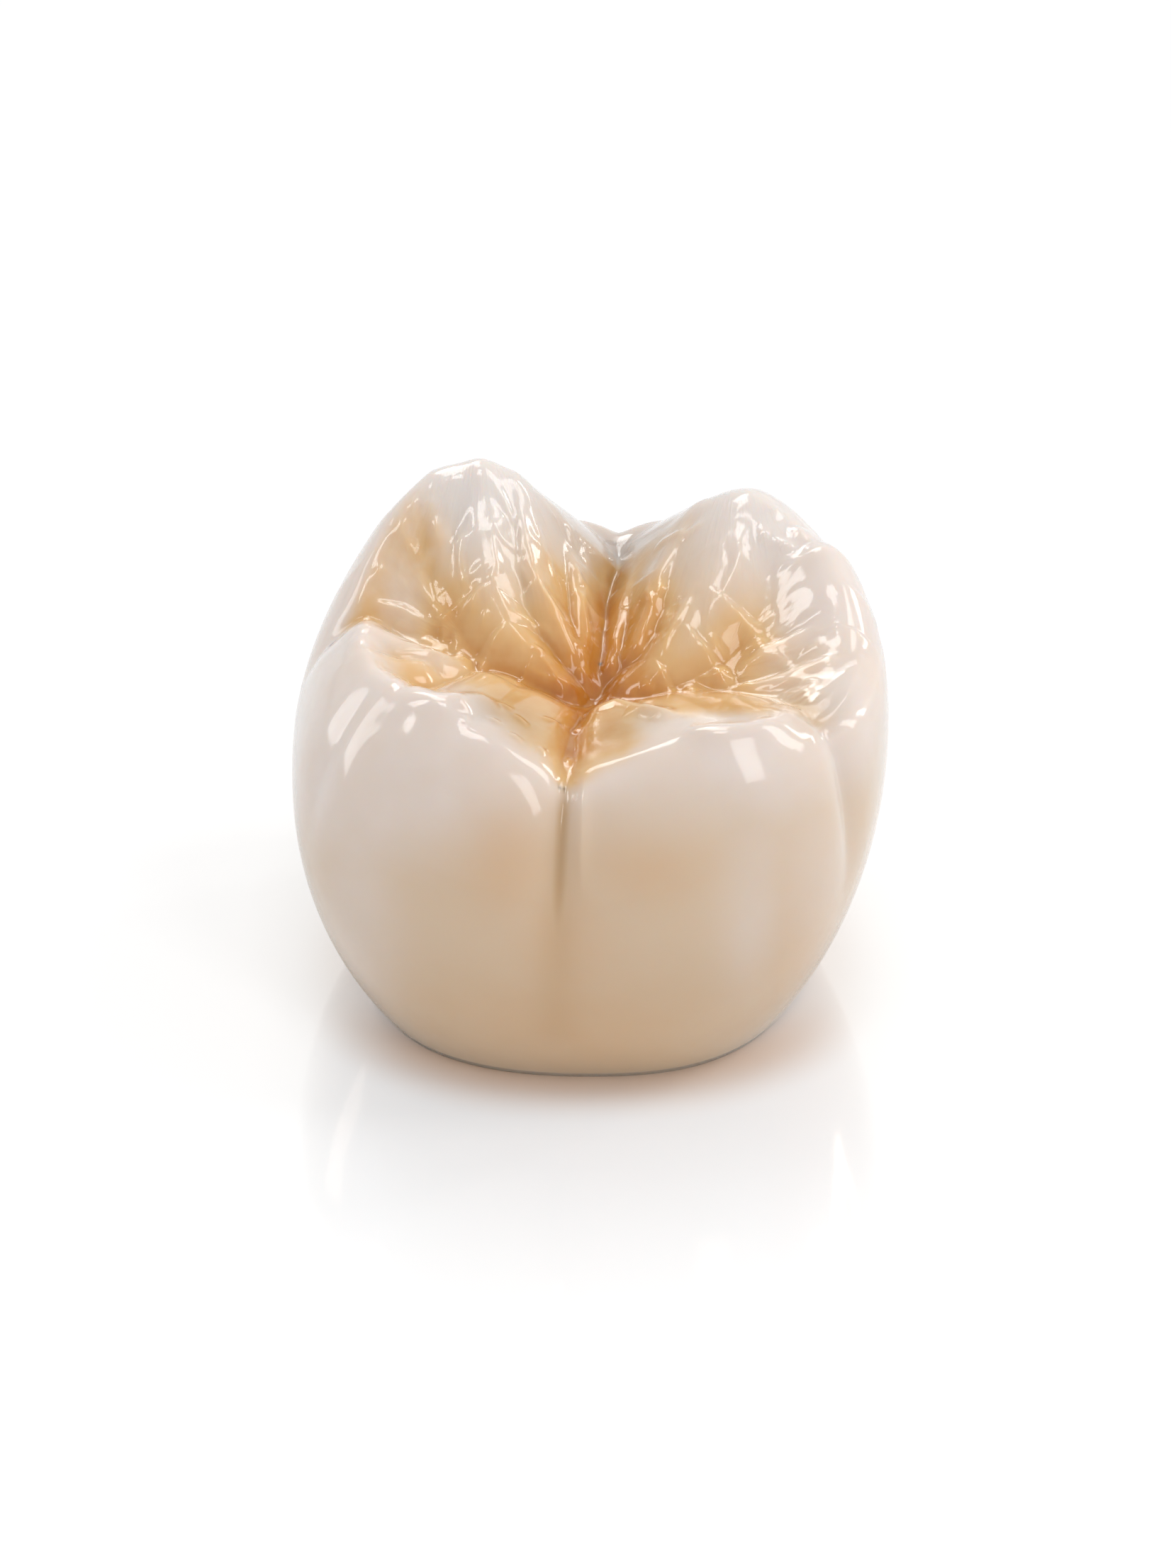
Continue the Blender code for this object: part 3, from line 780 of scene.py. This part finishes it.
def blurred(table, radius):
    """A Gaussian blur by Fourier transform; the radius is in millimetres."""
    wide = np.pad(table, BLUR_BORDER, mode="edge")
    u = np.fft.fftfreq(wide.shape[0], GRID_STEP)[:, None]
    v = np.fft.rfftfreq(wide.shape[1], GRID_STEP)[None, :]
    pass_band = np.exp(-2.0 * (np.pi * radius) ** 2 * (u**2 + v**2))
    wide = np.fft.irfft2(np.fft.rfft2(wide) * pass_band, wide.shape)
    return wide[BLUR_BORDER:-BLUR_BORDER, BLUR_BORDER:-BLUR_BORDER]


VALLEY = blurred(SMOOTH_RELIEF, VALLEY_BLUR) - SMOOTH_RELIEF
CREASE = blurred(RELIEF, CREASE_BLUR) - RELIEF
print("valleys up to %.2f mm, creases up to %.3f mm" % (VALLEY.max(), CREASE.max()))


# %% Stain along the grooves
Stain = namedtuple("Stain", "points strength width")
STAINS = (
    # the pit and the floor of the mesial fossa
    Stain(((0.10, -0.30), (0.12, -0.36)), 0.90, 0.60),
    Stain(((0.10, -0.10), (0.20, 0.30)), 0.58, 1.35),
    Stain(in_mm(CENTRAL_MESIAL), 0.30, 0.45),
    Stain(((-2.05, 0.00), (-2.45, 0.60)), 0.15, 0.60),
    Stain(((-2.60, 1.00), (-3.00, 1.80)), 0.27, 0.55),
    Stain(((-4.30, 0.90), (-4.00, 1.70), (-3.60, 2.30)), 0.27, 0.60),
    Stain(((-3.20, 0.60), (-4.00, 0.70)), 0.12, 0.60),
    Stain(((-2.40, -1.00), (-2.90, -1.10), (-3.40, -0.60)), 0.28, 0.50),
    # up the tongue side
    Stain(((0.15, 0.00), (0.30, 1.00), (0.35, 1.90)), 0.38, 0.40),
    Stain(((0.35, 1.90), (0.60, 2.90)), 0.30, 0.42),
    Stain(((0.40, 2.80), (0.90, 2.70), (1.50, 2.70)), 0.20, 0.55),
    Stain(((0.50, 0.00), (0.95, 0.60), (1.05, 1.30)), 0.60, 0.50),
    Stain(((-0.30, 0.20), (-0.90, 0.40), (-1.60, 0.30)), 0.20, 0.55),
    Stain(((-0.30, 0.80), (-0.60, 1.70)), 0.30, 0.50),
    # the distal fossa
    Stain(in_mm(CENTRAL_DISTAL), 0.25, 0.45),
    Stain(((2.10, -0.20), (2.60, 0.35)), 0.10, 0.55),
    Stain(((2.60, 0.35), (3.10, 1.00)), 0.16, 0.60),
    Stain(((0.90, -0.60), (1.60, -0.75), (2.60, -0.80)), 0.34, 0.45),
    Stain(((1.90, -1.70), (2.90, -1.90)), 0.48, 0.65),
    Stain(((2.90, -0.60), (3.90, -1.00), (4.00, -1.80)), 0.14, 0.60),
    Stain(((3.20, 0.20), (3.90, -0.20)), 0.15, 0.65),
    # the cheek side
    Stain(((-0.10, -0.60), (-0.30, -1.70), (-0.25, -2.60)), 0.66, 0.42),
    Stain(((-0.25, -2.60), (-0.30, -3.30)), 0.40, 0.50),
    Stain(((0.40, -1.60), (0.50, -2.90)), 0.46, 0.50),
    Stain(((-0.60, -0.60), (-1.10, -1.50)), 0.28, 0.75),
    Stain(((-1.50, -1.60), (-1.10, -2.70)), 0.34, 0.65),
    Stain(((-1.20, -0.70), (-2.20, -0.90), (-3.20, -1.20)), 0.18, 0.65),
    Stain(((3.70, -1.40), (4.00, -2.20), (4.20, -3.00)), 0.14, 0.35),
)


def stain_table():
    clear = np.ones(PLAN_X.shape)
    for stain in STAINS:
        aside = line_distance(PLAN_X, PLAN_Y, stain.points)
        clear *= 1.0 - stain.strength * bell(aside, stain.width)
    return 1.0 - clear


VALLEY_TAKES = np.clip(0.92 + 0.9 * VALLEY, 0.55, 1.20)
CREASE_TAKES = 1.0 + 3.0 * np.clip(CREASE, 0.0, 0.05)
STAIN = np.clip(stain_table() * VALLEY_TAKES * CREASE_TAKES, 0.0, 1.0)
print("stain strokes:", len(STAINS), "mean stain:", round(float(STAIN.mean()), 3))


# %% [markdown]
# ## Patches, painted shade and pores
# The warm body shows through the cheek side wall in some soft patches, and clear
# enamel lies thick over it in others. At a few places on the biting surface a grey
# shade is painted into the colour, which darkens them as if less light reached them.
# The pores are three tiny dark specks.

# %% Patches on the cheek side wall
Patch = namedtuple("Patch", "x z half_width half_height amount")
NEAR_WALL = (-0.8, -2.2)
WARM_PATCHES = (
    Patch(-1.5, 5.1, 0.8, 1.0, 0.55),
    Patch(1.0, 5.0, 1.1, 0.6, 0.45),
    Patch(-0.5, 1.6, 2.2, 1.2, 0.55),
    Patch(-0.5, 3.6, 0.9, 1.5, 0.45),
    Patch(3.9, 2.2, 0.7, 2.0, 0.45),
)
CLEAR_PATCHES = (
    Patch(3.0, 4.2, 0.7, 2.0, 0.60),
    Patch(4.1, 4.4, 0.8, 2.4, 0.60),
    Patch(-4.3, 3.6, 0.8, 2.8, 0.65),
    Patch(-3.2, 5.9, 1.2, 0.8, 0.35),
)


def patch_amount(patches, x, y, z):
    total = np.zeros(len(x))
    for patch in patches:
        aside = (x - patch.x) / patch.half_width
        above = (z - patch.z) / patch.half_height
        total = np.maximum(total, patch.amount * np.exp(-(aside**2) - above**2))
    return total * smoothstep(*NEAR_WALL, y)


print("warm patches:", len(WARM_PATCHES), "clear patches:", len(CLEAR_PATCHES))

# %% Painted shade and pores
Spot = namedtuple("Spot", "place radius amount")
# Painted shade: places on the biting surface where the colour is darkened to grey, as if less light
# reached them.
PAINTED_SHADE_PLACES = (
    Spot((0.4, 3.5), 1.3, 1.00),
    Spot((-1.5, -2.4), 0.9, 0.85),
    Spot((0.6, -2.3), 0.7, 0.60),
    Spot((2.5, -2.5), 0.9, 0.45),
    Spot((4.1, -1.9), 0.8, 0.70),
)
PORE_RADIUS = 0.035
PORES = [Spot(place, PORE_RADIUS, 1.0) for place in ((0.19, 0.48), (-0.55, -3.62), (-0.47, -3.62))]


def spot_amount(spots, x, y):
    total = np.zeros(len(x))
    for spot in spots:
        away = np.hypot(x - spot.place[0], y - spot.place[1])
        total = np.maximum(total, spot.amount * bell(away, spot.radius))
    return total


print("thin places:", len(PAINTED_SHADE_PLACES), "pores:", len(PORES))

# %% [markdown]
# ## Numbers on the mesh's points
# The shader takes its colours from numbers that are stored on the points, so the
# colours stay with the mesh. `stain` is the amber, `enamel` the clear grey enamel,
# `tip` its clearest part on the cusps, `neck` the warm body towards the margin,
# `warm` the patches, `furrow` the tan line and the soft hollow of the long furrow,
# `shade` the painted shade, `pore` the specks, and `worked` the part where the brush
# has left its finest strokes.

# %% How the long furrow is coloured
TRAIL_LINE = {"amount": 0.85, "fades": (3.2, 4.8), "width": 0.13}
TRAIL_HOLLOW = {"amount": 0.30, "fades": (0.9, 1.6), "width": 0.62, "narrows": 0.07}


def furrow_trail(azimuth, z, radius):
    aside = beside_furrow(azimuth, radius, LONG_FURROW)
    line = TRAIL_LINE["amount"] * smoothstep(*TRAIL_LINE["fades"], z) * bell(aside, TRAIL_LINE["width"])
    width = TRAIL_HOLLOW["width"] - TRAIL_HOLLOW["narrows"] * z
    hollow = TRAIL_HOLLOW["amount"] * smoothstep(*TRAIL_HOLLOW["fades"], z) * bell(aside, width)
    return np.maximum(line, hollow)


# %% Work out the numbers
CLEAR_FROM = {"distal": 4.2, "lingual": 4.0, "mesial": 2.5, "buccal": 5.0}
CLEAR_OVER = 2.2
NECK_BOTTOM = 0.3
NECK_TOPS = {"distal": 4.5, "lingual": 3.0, "mesial": 2.5, "buccal": 4.6}
TIP_FROM, TIP_TO = 7.2, 8.8
EDGE_BLEND = 0.35
CUSPS_CLEAR = (0.30, 0.78)
WORKED_ENDS = (0.72, 0.86)
WORKED_STARTS = (-1.2, 0.2)


def point_numbers():
    x, y, z = outer_points.T
    azimuth = np.arctan2(y, x)
    to_wall, to_top = to_wall_and_top(x, y, z)
    on_top = smoothstep(-EDGE_BLEND, EDGE_BLEND, to_wall - to_top)
    on_wall = 1.0 - on_top
    out = np.hypot(x / (MESIODISTAL / 2), y / (BUCCOLINGUAL / 2))
    clear_from = by_side(azimuth, CLEAR_FROM)
    wall_clear = smoothstep(clear_from, clear_from + CLEAR_OVER, z)
    wall_clear = np.maximum(wall_clear, patch_amount(CLEAR_PATCHES, x, y, z))
    worked = (1.0 - smoothstep(*WORKED_ENDS, out)) * smoothstep(*WORKED_STARTS, y)
    return {
        "stain": look_up(STAIN, x, y) * on_top,
        "enamel": on_top * smoothstep(*CUSPS_CLEAR, out) + on_wall * wall_clear,
        "tip": on_top * smoothstep(TIP_FROM, TIP_TO, z),
        "neck": 1.0 - smoothstep(NECK_BOTTOM, by_side(azimuth, NECK_TOPS), z),
        "warm": on_wall * patch_amount(WARM_PATCHES, x, y, z),
        "furrow": on_wall * furrow_trail(azimuth, z, np.hypot(x, y)),
        "pore": on_top * spot_amount(PORES, x, y),
        # painted shade: a darker grey at a few places on the biting surface
        "shade": on_top * spot_amount(PAINTED_SHADE_PLACES, x, y),
        "worked": on_top * worked,
    }


numbers = point_numbers()
print("mean of each:", {name: round(float(values.mean()), 3) for name, values in numbers.items()})

# %% [markdown]
# ## The run of the brush strokes
# The finest strokes are too small for the mesh, so a bump in the shader draws them.
# They run out from six centres, four beside the cusps and two in the fossae. `grain`
# stores how far a point lies across and along its strokes, and noise that is read
# from these two numbers comes out as long strokes. They fade on the borders between
# two centres.

# %% Centres of the strokes
GRAIN_WIDTH = 0.10
GRAIN_LENGTH = 0.70
CUSP_FAN, FOSSA_FAN = 2.4, 1.2
STROKE_CENTRES = (
    # beside the mesiolingual, distolingual, mesiobuccal and distobuccal cusps
    (-2.0, 4.2), (2.7, 4.0), (-2.9, -4.4), (2.3, -4.4),
    # in the mesial and the distal fossa
    (-2.15, 0.30), (2.30, -0.15),
)


def centre_number(x, y):
    """Which centre the strokes at a place run out from."""
    number = np.where(y > -0.2, np.where(x < 0.1, 0, 1), np.where(x < 0.1, 2, 3))
    number = np.where((x < -2.3) & (np.abs(y - 0.3) < 0.9 * (-1.7 - x)), 4, number)
    return np.where((x > 2.5) & (np.abs(y - 0.1) < 0.9 * (x - 1.9)), 5, number)


def border_mask():
    """0 on the borders between two centres, 1 away from them."""
    number = centre_number(PLAN_X, PLAN_Y)
    border = (number != np.roll(number, 1, axis=0)) | (number != np.roll(number, 1, axis=1))
    return 1.0 - np.clip(12.0 * blurred(border.astype(float), 0.08), 0.0, 1.0)


BORDER_MASK = border_mask()
print("share of the plan with full strokes:", round(float((BORDER_MASK > 0.99).mean()), 2))


# %% Across and along the strokes
def grain_vectors():
    x, y, _ = outer_points.T
    number = centre_number(x, y)
    away_x, away_y = np.array([x, y]) - np.array(STROKE_CENTRES)[number].T
    in_fossa = number >= 4
    turn = np.arctan2(away_y, away_x) + np.where(in_fossa & (away_x < 0.0), np.pi, 0.0)
    across = np.angle(np.exp(1j * turn)) * np.where(in_fossa, FOSSA_FAN, CUSP_FAN)
    along = np.hypot(away_x, away_y)
    return np.stack([across / GRAIN_WIDTH, along / GRAIN_LENGTH, 7.0 * number], axis=-1)


# %% Store the numbers
def store(name, kind, field, values):
    """The hollow's points get noughts, because nothing is painted there."""
    padding = [(0, len(stump_points))] + [(0, 0)] * (values.ndim - 1)
    attribute = mesh.attributes.new(name, kind, "POINT")
    attribute.data.foreach_set(field, np.pad(values, padding).astype(np.float32).ravel())


numbers["worked"] = numbers["worked"] * look_up(BORDER_MASK, outer_points[:, 0], outer_points[:, 1])
for name, values in numbers.items():
    store(name, "FLOAT", "value", values)
store("grain", "FLOAT_VECTOR", "vector", grain_vectors())
print("stored on the mesh:", ", ".join(numbers), "and grain")

# %% [markdown]
# ## Glazed porcelain
# Dental porcelain is layered: a warm opaque body under clear grey enamel. Light
# enters it and comes out a fraction of a millimetre away, so the shader needs
# subsurface scattering. Each colour is blended over the last one, by its number on
# the points. The glaze on top is a thin clear coat, and a very small bump keeps its
# reflections from looking like plastic.

# %% Colours of the porcelain
BODY = (0.64, 0.49, 0.35, 1.0)
NECK = (0.60, 0.42, 0.26, 1.0)
PEACH = (0.62, 0.40, 0.23, 1.0)
ENAMEL = (0.71, 0.62, 0.565, 1.0)
CLEAR_TIP = (0.69, 0.635, 0.60, 1.0)
HONEY = (0.66, 0.42, 0.19, 1.0)
AMBER = (0.54, 0.24, 0.045, 1.0)
DEEP_AMBER = (0.44, 0.16, 0.02, 1.0)
FURROW_TAN = (0.50, 0.31, 0.15, 1.0)
PORE_BROWN = (0.06, 0.035, 0.02, 1.0)
# Painted shade: the grey that darkens the colour at the shaded places.
PAINTED_SHADE_GREY = (0.70, 0.69, 0.67, 1.0)


# %% Node helpers
def add_node(tree, kind, inputs=()):
    """Adds a node; each input gets a number or a colour, or a link from another node."""
    node = tree.nodes.new("ShaderNode" + kind)
    for key, value in dict(inputs).items():
        if isinstance(value, (int, float, tuple)):
            node.inputs[key].default_value = value
        else:
            tree.links.new(value, node.inputs[key])
    return node


def stored_number(tree, name, output="Fac"):
    node = add_node(tree, "Attribute")
    node.attribute_name = name
    return node.outputs[output]


def maths(tree, operation, *values):
    node = add_node(tree, "Math", enumerate(values))
    node.operation = operation
    return node.outputs["Value"]


def remap(tree, value, from_low, from_high, to_low=0.0, to_high=1.0):
    limits = {"From Min": from_low, "From Max": from_high, "To Min": to_low, "To Max": to_high}
    node = add_node(tree, "MapRange", {"Value": value, **limits})
    node.interpolation_type = "SMOOTHSTEP"
    return node.outputs["Result"]


# %% Colour and noise helpers
def blend_colours(tree, amount, first, second, blend="MIX"):
    node = add_node(tree, "Mix")
    node.data_type = "RGBA"
    node.blend_type = blend
    for socket, value in zip(("Factor", "A", "B"), (amount, first, second)):
        if isinstance(value, (float, tuple)):
            node.inputs[socket].default_value = value
        else:
            tree.links.new(value, node.inputs[socket])
    return node.outputs["Result"]


def noise(tree, size_mm, detail=2.0):
    """Noise with lumps of about this size, from the object's own coordinates."""
    place = add_node(tree, "TexCoord").outputs["Object"]
    inputs = {"Vector": place, "Scale": 1.0 / (size_mm * MM), "Detail": detail}
    return add_node(tree, "TexNoise", inputs).outputs["Fac"]


def bump(tree, height, distance_mm, strength, under=None):
    inputs = {"Height": height, "Distance": distance_mm * MM, "Strength": strength}
    if under is not None:
        inputs["Normal"] = under
    return add_node(tree, "Bump", inputs).outputs["Normal"]


# %% The porcelain's colour
def painted(tree, name, mottle, *limits):
    """A stored number, made a little uneven by noise."""
    return maths(tree, "MULTIPLY", stored_number(tree, name), remap(tree, mottle, *limits))


def porcelain_colour(tree, mottle, fine):
    stain = painted(tree, "stain", fine, 0.2, 0.8, 0.9, 1.1)
    layers = (
        (painted(tree, "neck", mottle, 0.25, 0.7, 0.75, 1.1), NECK),
        (painted(tree, "enamel", mottle, 0.3, 0.7, 0.8, 1.05), ENAMEL),
        (stored_number(tree, "warm"), PEACH),
        (stored_number(tree, "tip"), CLEAR_TIP),
        (stored_number(tree, "furrow"), FURROW_TAN),
        (remap(tree, stain, 0.0, 0.42), HONEY),
        (remap(tree, stain, 0.30, 0.78), AMBER),
        (remap(tree, stain, 0.70, 1.05), DEEP_AMBER),
    )
    colour = BODY
    for amount, layer in layers:
        colour = blend_colours(tree, amount, colour, layer)
    # Painted shade: the colour is multiplied by a grey where `shade` is stored.
    colour = blend_colours(tree, stored_number(tree, "shade"), colour, PAINTED_SHADE_GREY, "MULTIPLY")
    return blend_colours(tree, stored_number(tree, "pore"), colour, PORE_BROWN)


# %% The fine relief of the glaze
STROKE_DEPTH = 0.004
SKIN_DEPTH = 0.010


def glaze_relief(tree):
    grain = {"Vector": stored_number(tree, "grain", "Vector"), "Scale": 1.0, "Detail": 1.0}
    strokes = remap(tree, add_node(tree, "TexNoise", grain).outputs["Fac"], 0.42, 0.72)
    strokes = maths(tree, "MULTIPLY", strokes, stored_number(tree, "worked"))
    normal = bump(tree, strokes, STROKE_DEPTH, 1.0)
    return bump(tree, noise(tree, 0.25, 3.0), SKIN_DEPTH, 0.25, normal)


# %% The porcelain material
PORCELAIN = {
    "Subsurface Weight": 0.55,
    "Subsurface Radius": (1.0, 0.62, 0.40),
    "Subsurface Scale": 0.45 * MM,
    "IOR": 1.52,
    "Specular IOR Level": 0.08,
    "Coat Weight": 1.0,
    "Coat IOR": 1.42,
    "Coat Roughness": 0.08,
}


def porcelain():
    material = bpy.data.materials.new("glazed_porcelain")
    material.use_nodes = True
    tree = material.node_tree
    shader = tree.nodes["Principled BSDF"]
    mottle, fine = noise(tree, 1.4), noise(tree, 0.35)
    tree.links.new(porcelain_colour(tree, mottle, fine), shader.inputs["Base Color"])
    tree.links.new(remap(tree, fine, 0.3, 0.7, 0.14, 0.20), shader.inputs["Roughness"])
    tree.links.new(glaze_relief(tree), shader.inputs["Normal"])
    for name, value in PORCELAIN.items():
        shader.inputs[name].default_value = value
    return material


mesh.materials.append(porcelain())
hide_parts("crown")
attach(crown, "root")
print("material:", mesh.materials[0].name)

# %% [markdown]
# ## A white table
# The crown stands on a glossy white board. Its reflection shows near the crown and
# fades out, and a soft shadow lies round the margin. The board gives white to the
# camera by a little glow of its own, never by more light on the crown. What the board
# mirrors is taken off that glow, so the sum stays white. In a narrow band round the
# margin, darkest in front, a painted contact shadow is taken off the glow instead.

# %% Sizes and shares of the board
FLOOR_SIZE = 0.8
FLOOR_DROP = 0.01 * MM
BOARD_WHITE = (0.8, 0.8, 0.8, 1.0)
NO_LIGHT = (0.0, 0.0, 0.0, 1.0)
MIRROR_SHARE = (0.34, 0.27, 0.22, 1.0)
MIRROR_FADES = (3.5 * MM, 18.0 * MM)
SHADOW_SHARE = 0.45
SHADOW_FADES = (15.0 * MM, 45.0 * MM)
PAINTED_SHADOW_REACH = 1.6
# Painted shadow: the dark colour taken off the board's glow in the band where crown and board touch.
PAINTED_CONTACT_SHADOW = (0.45, 0.50, 0.53, 1.0)
PAINTED_SHADOW_FRONT = (-3.6 * MM, -1.0 * MM)
PAINTED_SHADOW_BEHIND = 0.25
BAND_SQUARENESS = 2.4


# %% The painted shadow band where crown and board touch
def painted_shadow_band(tree, place):
    axes = add_node(tree, "SeparateXYZ", {"Vector": place}).outputs
    powers = []
    for axis, half_side in (("X", MARGIN_HALF_WIDTH * MM), ("Y", MARGIN_HALF_DEPTH * MM)):
        share = maths(tree, "ABSOLUTE", maths(tree, "DIVIDE", axes[axis], half_side))
        powers.append(maths(tree, "POWER", share, BAND_SQUARENESS))
    margin_share = maths(tree, "POWER", maths(tree, "ADD", *powers), 1.0 / BAND_SQUARENESS)
    band = remap(tree, margin_share, 1.0, 1.0 + PAINTED_SHADOW_REACH / MARGIN_HALF_DEPTH, 1.0, 0.0)
    in_front = remap(tree, axes["Y"], *PAINTED_SHADOW_FRONT, 1.0, PAINTED_SHADOW_BEHIND)
    return maths(tree, "MULTIPLY", band, in_front)


# %% The board as the camera sees it
def add_up(tree, *shaders):
    total = shaders[0].outputs[0]
    for shader in shaders[1:]:
        total = add_node(tree, "AddShader", {0: total, 1: shader.outputs[0]}).outputs[0]
    return total


def seen_board(tree, camera_ray):
    place = add_node(tree, "TexCoord").outputs["Object"]
    length = add_node(tree, "VectorMath", {0: place})
    length.operation = "LENGTH"
    away = length.outputs["Value"]
    mirror_fade = maths(tree, "MULTIPLY", remap(tree, away, *MIRROR_FADES, 1.0, 0.0), camera_ray)
    mirrored = blend_colours(tree, mirror_fade, NO_LIGHT, MIRROR_SHARE)
    # Painted shadow: in the band round the margin, a dark colour is taken off the glow.
    taken = blend_colours(tree, painted_shadow_band(tree, place), mirrored, PAINTED_CONTACT_SHADOW)
    shadow = remap(tree, away, *SHADOW_FADES, SHADOW_SHARE, 0.0)
    glow = blend_colours(tree, 1.0, maths(tree, "SUBTRACT", 1.0, shadow), taken, "SUBTRACT")
    return add_up(
        tree,
        add_node(tree, "BsdfGlossy", {"Color": mirrored, "Roughness": 0.06}),
        add_node(tree, "BsdfDiffuse", {"Color": shadow}),
        add_node(tree, "Emission", {"Color": glow}),
    )


# %% The board
def floor_material():
    material = bpy.data.materials.new("white_board")
    material.use_nodes = True
    tree = material.node_tree
    tree.nodes.remove(tree.nodes["Principled BSDF"])
    camera_ray = add_node(tree, "LightPath").outputs["Is Camera Ray"]
    plain = add_node(tree, "BsdfDiffuse", {"Color": BOARD_WHITE}).outputs[0]
    choose = add_node(tree, "MixShader", {0: camera_ray, 1: plain, 2: seen_board(tree, camera_ray)})
    tree.links.new(choose.outputs[0], tree.nodes["Material Output"].inputs["Surface"])
    return material


half = FLOOR_SIZE / 2
floor_mesh = bpy.data.meshes.new("white_board")
floor_corners = [(-half, -half, 0), (half, -half, 0), (half, half, 0), (-half, half, 0)]
floor_mesh.from_pydata(floor_corners, [], [(0, 1, 2, 3)])
floor_mesh.materials.append(floor_material())
floor = bpy.data.objects.new("white_board", floor_mesh)
floor.location.z = -FLOOR_DROP
bpy.context.scene.collection.objects.link(floor)
floor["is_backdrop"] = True
print("board:", FLOOR_SIZE, "m square, with", len(floor_mesh.materials[0].node_tree.nodes), "nodes")

# %% [markdown]
# ## Light
# The world is a plain soft light that shows white to the camera, to mirrors and to
# glass. Eight softboxes above, behind and round the crown draw the bright lines on
# the ridges and the long windows of light on the walls. Their places decide where
# those lines are, and their sizes decide how broad. Two of them show in the glaze
# only, because their light would make the porcelain under it too pale.

# %% The world
WORLD_LIGHT = 0.65


def seen_rays(tree):
    """1 for rays of the camera, of mirrors and of glass, and 0 for all others."""
    path = add_node(tree, "LightPath").outputs
    seen = maths(tree, "MAXIMUM", path["Is Camera Ray"], path["Is Glossy Ray"])
    return maths(tree, "MAXIMUM", seen, path["Is Transmission Ray"])


world = bpy.data.worlds.new("white_studio")
bpy.context.scene.world = world
world.use_nodes = True
sky = world.node_tree
background = sky.nodes["Background"]
background.inputs["Color"].default_value = (1.0, 1.0, 1.0, 1.0)
strength = maths(sky, "MULTIPLY_ADD", seen_rays(sky), 1.0 - WORLD_LIGHT, WORLD_LIGHT)
sky.links.new(strength, background.inputs["Strength"])
print("world light:", WORLD_LIGHT)

# %% Softboxes
CROWN_MIDDLE = Vector((0.0, 0.0, 6.0 * MM))


def softbox(name, azimuth, elevation, distance, width, height, brightness, glaze_only):
    """A lamp aimed at the crown. Azimuth 0 is behind it and 90 is at its right."""
    lamp = bpy.data.lights.new(name, "AREA")
    lamp.shape = "RECTANGLE"
    lamp.size, lamp.size_y = width, height
    lamp.energy = brightness * math.pi * width * height
    turn, lift = math.radians(azimuth), math.radians(elevation)
    way = Vector((math.sin(turn) * math.cos(lift), math.cos(turn) * math.cos(lift), math.sin(lift)))
    box = bpy.data.objects.new(name, lamp)
    box.location = CROWN_MIDDLE + way * distance
    box.rotation_mode = "QUATERNION"
    box.rotation_quaternion = way.to_track_quat("Z", "Y")
    box.visible_camera = False
    box.visible_diffuse = not glaze_only
    bpy.context.scene.collection.objects.link(box)
    print(name, "lights the crown by", round(brightness * width * height / distance**2 / math.pi, 3))


SOFTBOXES = (
    # name, azimuth, elevation, distance, width, height, brightness, in the glaze only
    ("overhead core", 180, 80, 0.19, 0.070, 0.045, 6.5, False),
    ("back", -8, 52, 0.20, 0.070, 0.100, 2.7, False),
    ("rim line", -24, 62, 0.19, 0.070, 0.160, 6.5, True),
    ("left", -70, 12, 0.20, 0.050, 0.100, 2.8, False),
    ("right", 62, 24, 0.20, 0.020, 0.060, 9.0, False),
    ("left high", -102, 48, 0.20, 0.030, 0.070, 7.0, True),
    ("front right", 146, 36, 0.20, 0.045, 0.090, 4.5, False),
    ("right high", 84, 42, 0.20, 0.050, 0.110, 5.0, False),
)
for settings in SOFTBOXES:
    softbox(*settings)

# %% [markdown]
# ## The camera
# The picture looks down on the crown from the cheek side, by 33 degrees. It is 2213
# pixels tall, and one millimetre of the crown takes 75.6 of them. A long lens from
# far away keeps the lines nearly parallel, and the camera is moved, not shifted, to
# put the crown at its place in the frame.

# %% Camera
PICTURE_WIDTH, PICTURE_HEIGHT = 1652, 2213
PIXELS_PER_MM = 75.6
LOOK_DOWN = math.radians(33.0)
CAMERA_DISTANCE = 0.22
MARGIN_FRONT_ROW = 1513
MIDDLE_COLUMN = 832.5
SENSOR = 36.0

camera_data = bpy.data.cameras.new("camera")
camera = bpy.data.objects.new("camera", camera_data)
back = Vector((0.0, -math.cos(LOOK_DOWN), math.sin(LOOK_DOWN)))
up = Vector((0.0, math.sin(LOOK_DOWN), math.cos(LOOK_DOWN)))
origin_row = MARGIN_FRONT_ROW - MARGIN_HALF_DEPTH * PIXELS_PER_MM * math.sin(LOOK_DOWN)
aside = (PICTURE_WIDTH / 2 - MIDDLE_COLUMN) / PIXELS_PER_MM * MM
above = (origin_row - PICTURE_HEIGHT / 2) / PIXELS_PER_MM * MM
camera.location = Vector((aside, 0.0, 0.0)) + up * above + back * CAMERA_DISTANCE
camera.rotation_mode = "QUATERNION"
camera.rotation_quaternion = (-back).to_track_quat("-Z", "Y")
camera_data.sensor_width = SENSOR
camera_data.lens = SENSOR * CAMERA_DISTANCE / (PICTURE_HEIGHT / PIXELS_PER_MM * MM)
camera_data.clip_start = 0.001
bpy.context.scene.collection.objects.link(camera)
bpy.context.scene.camera = camera
bpy.context.scene.view_settings.view_transform = "Standard"
print("lens:", round(camera_data.lens, 1), "mm")

# %% [markdown]
# ## Sizes side by side
# The visible crown has to stay inside the frame's box. Both boxes, the frame's and that
# of the visible crown, are written down.

# %% Write both boxes and finish
VISUAL_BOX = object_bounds()


def plain(box):
    return [[float(value) for value in corner] for corner in box]


{"cad": plain(CAD_BOX), "visual": plain(VISUAL_BOX)}
print("frame box:", plain(CAD_BOX), "visible box:", plain(VISUAL_BOX))
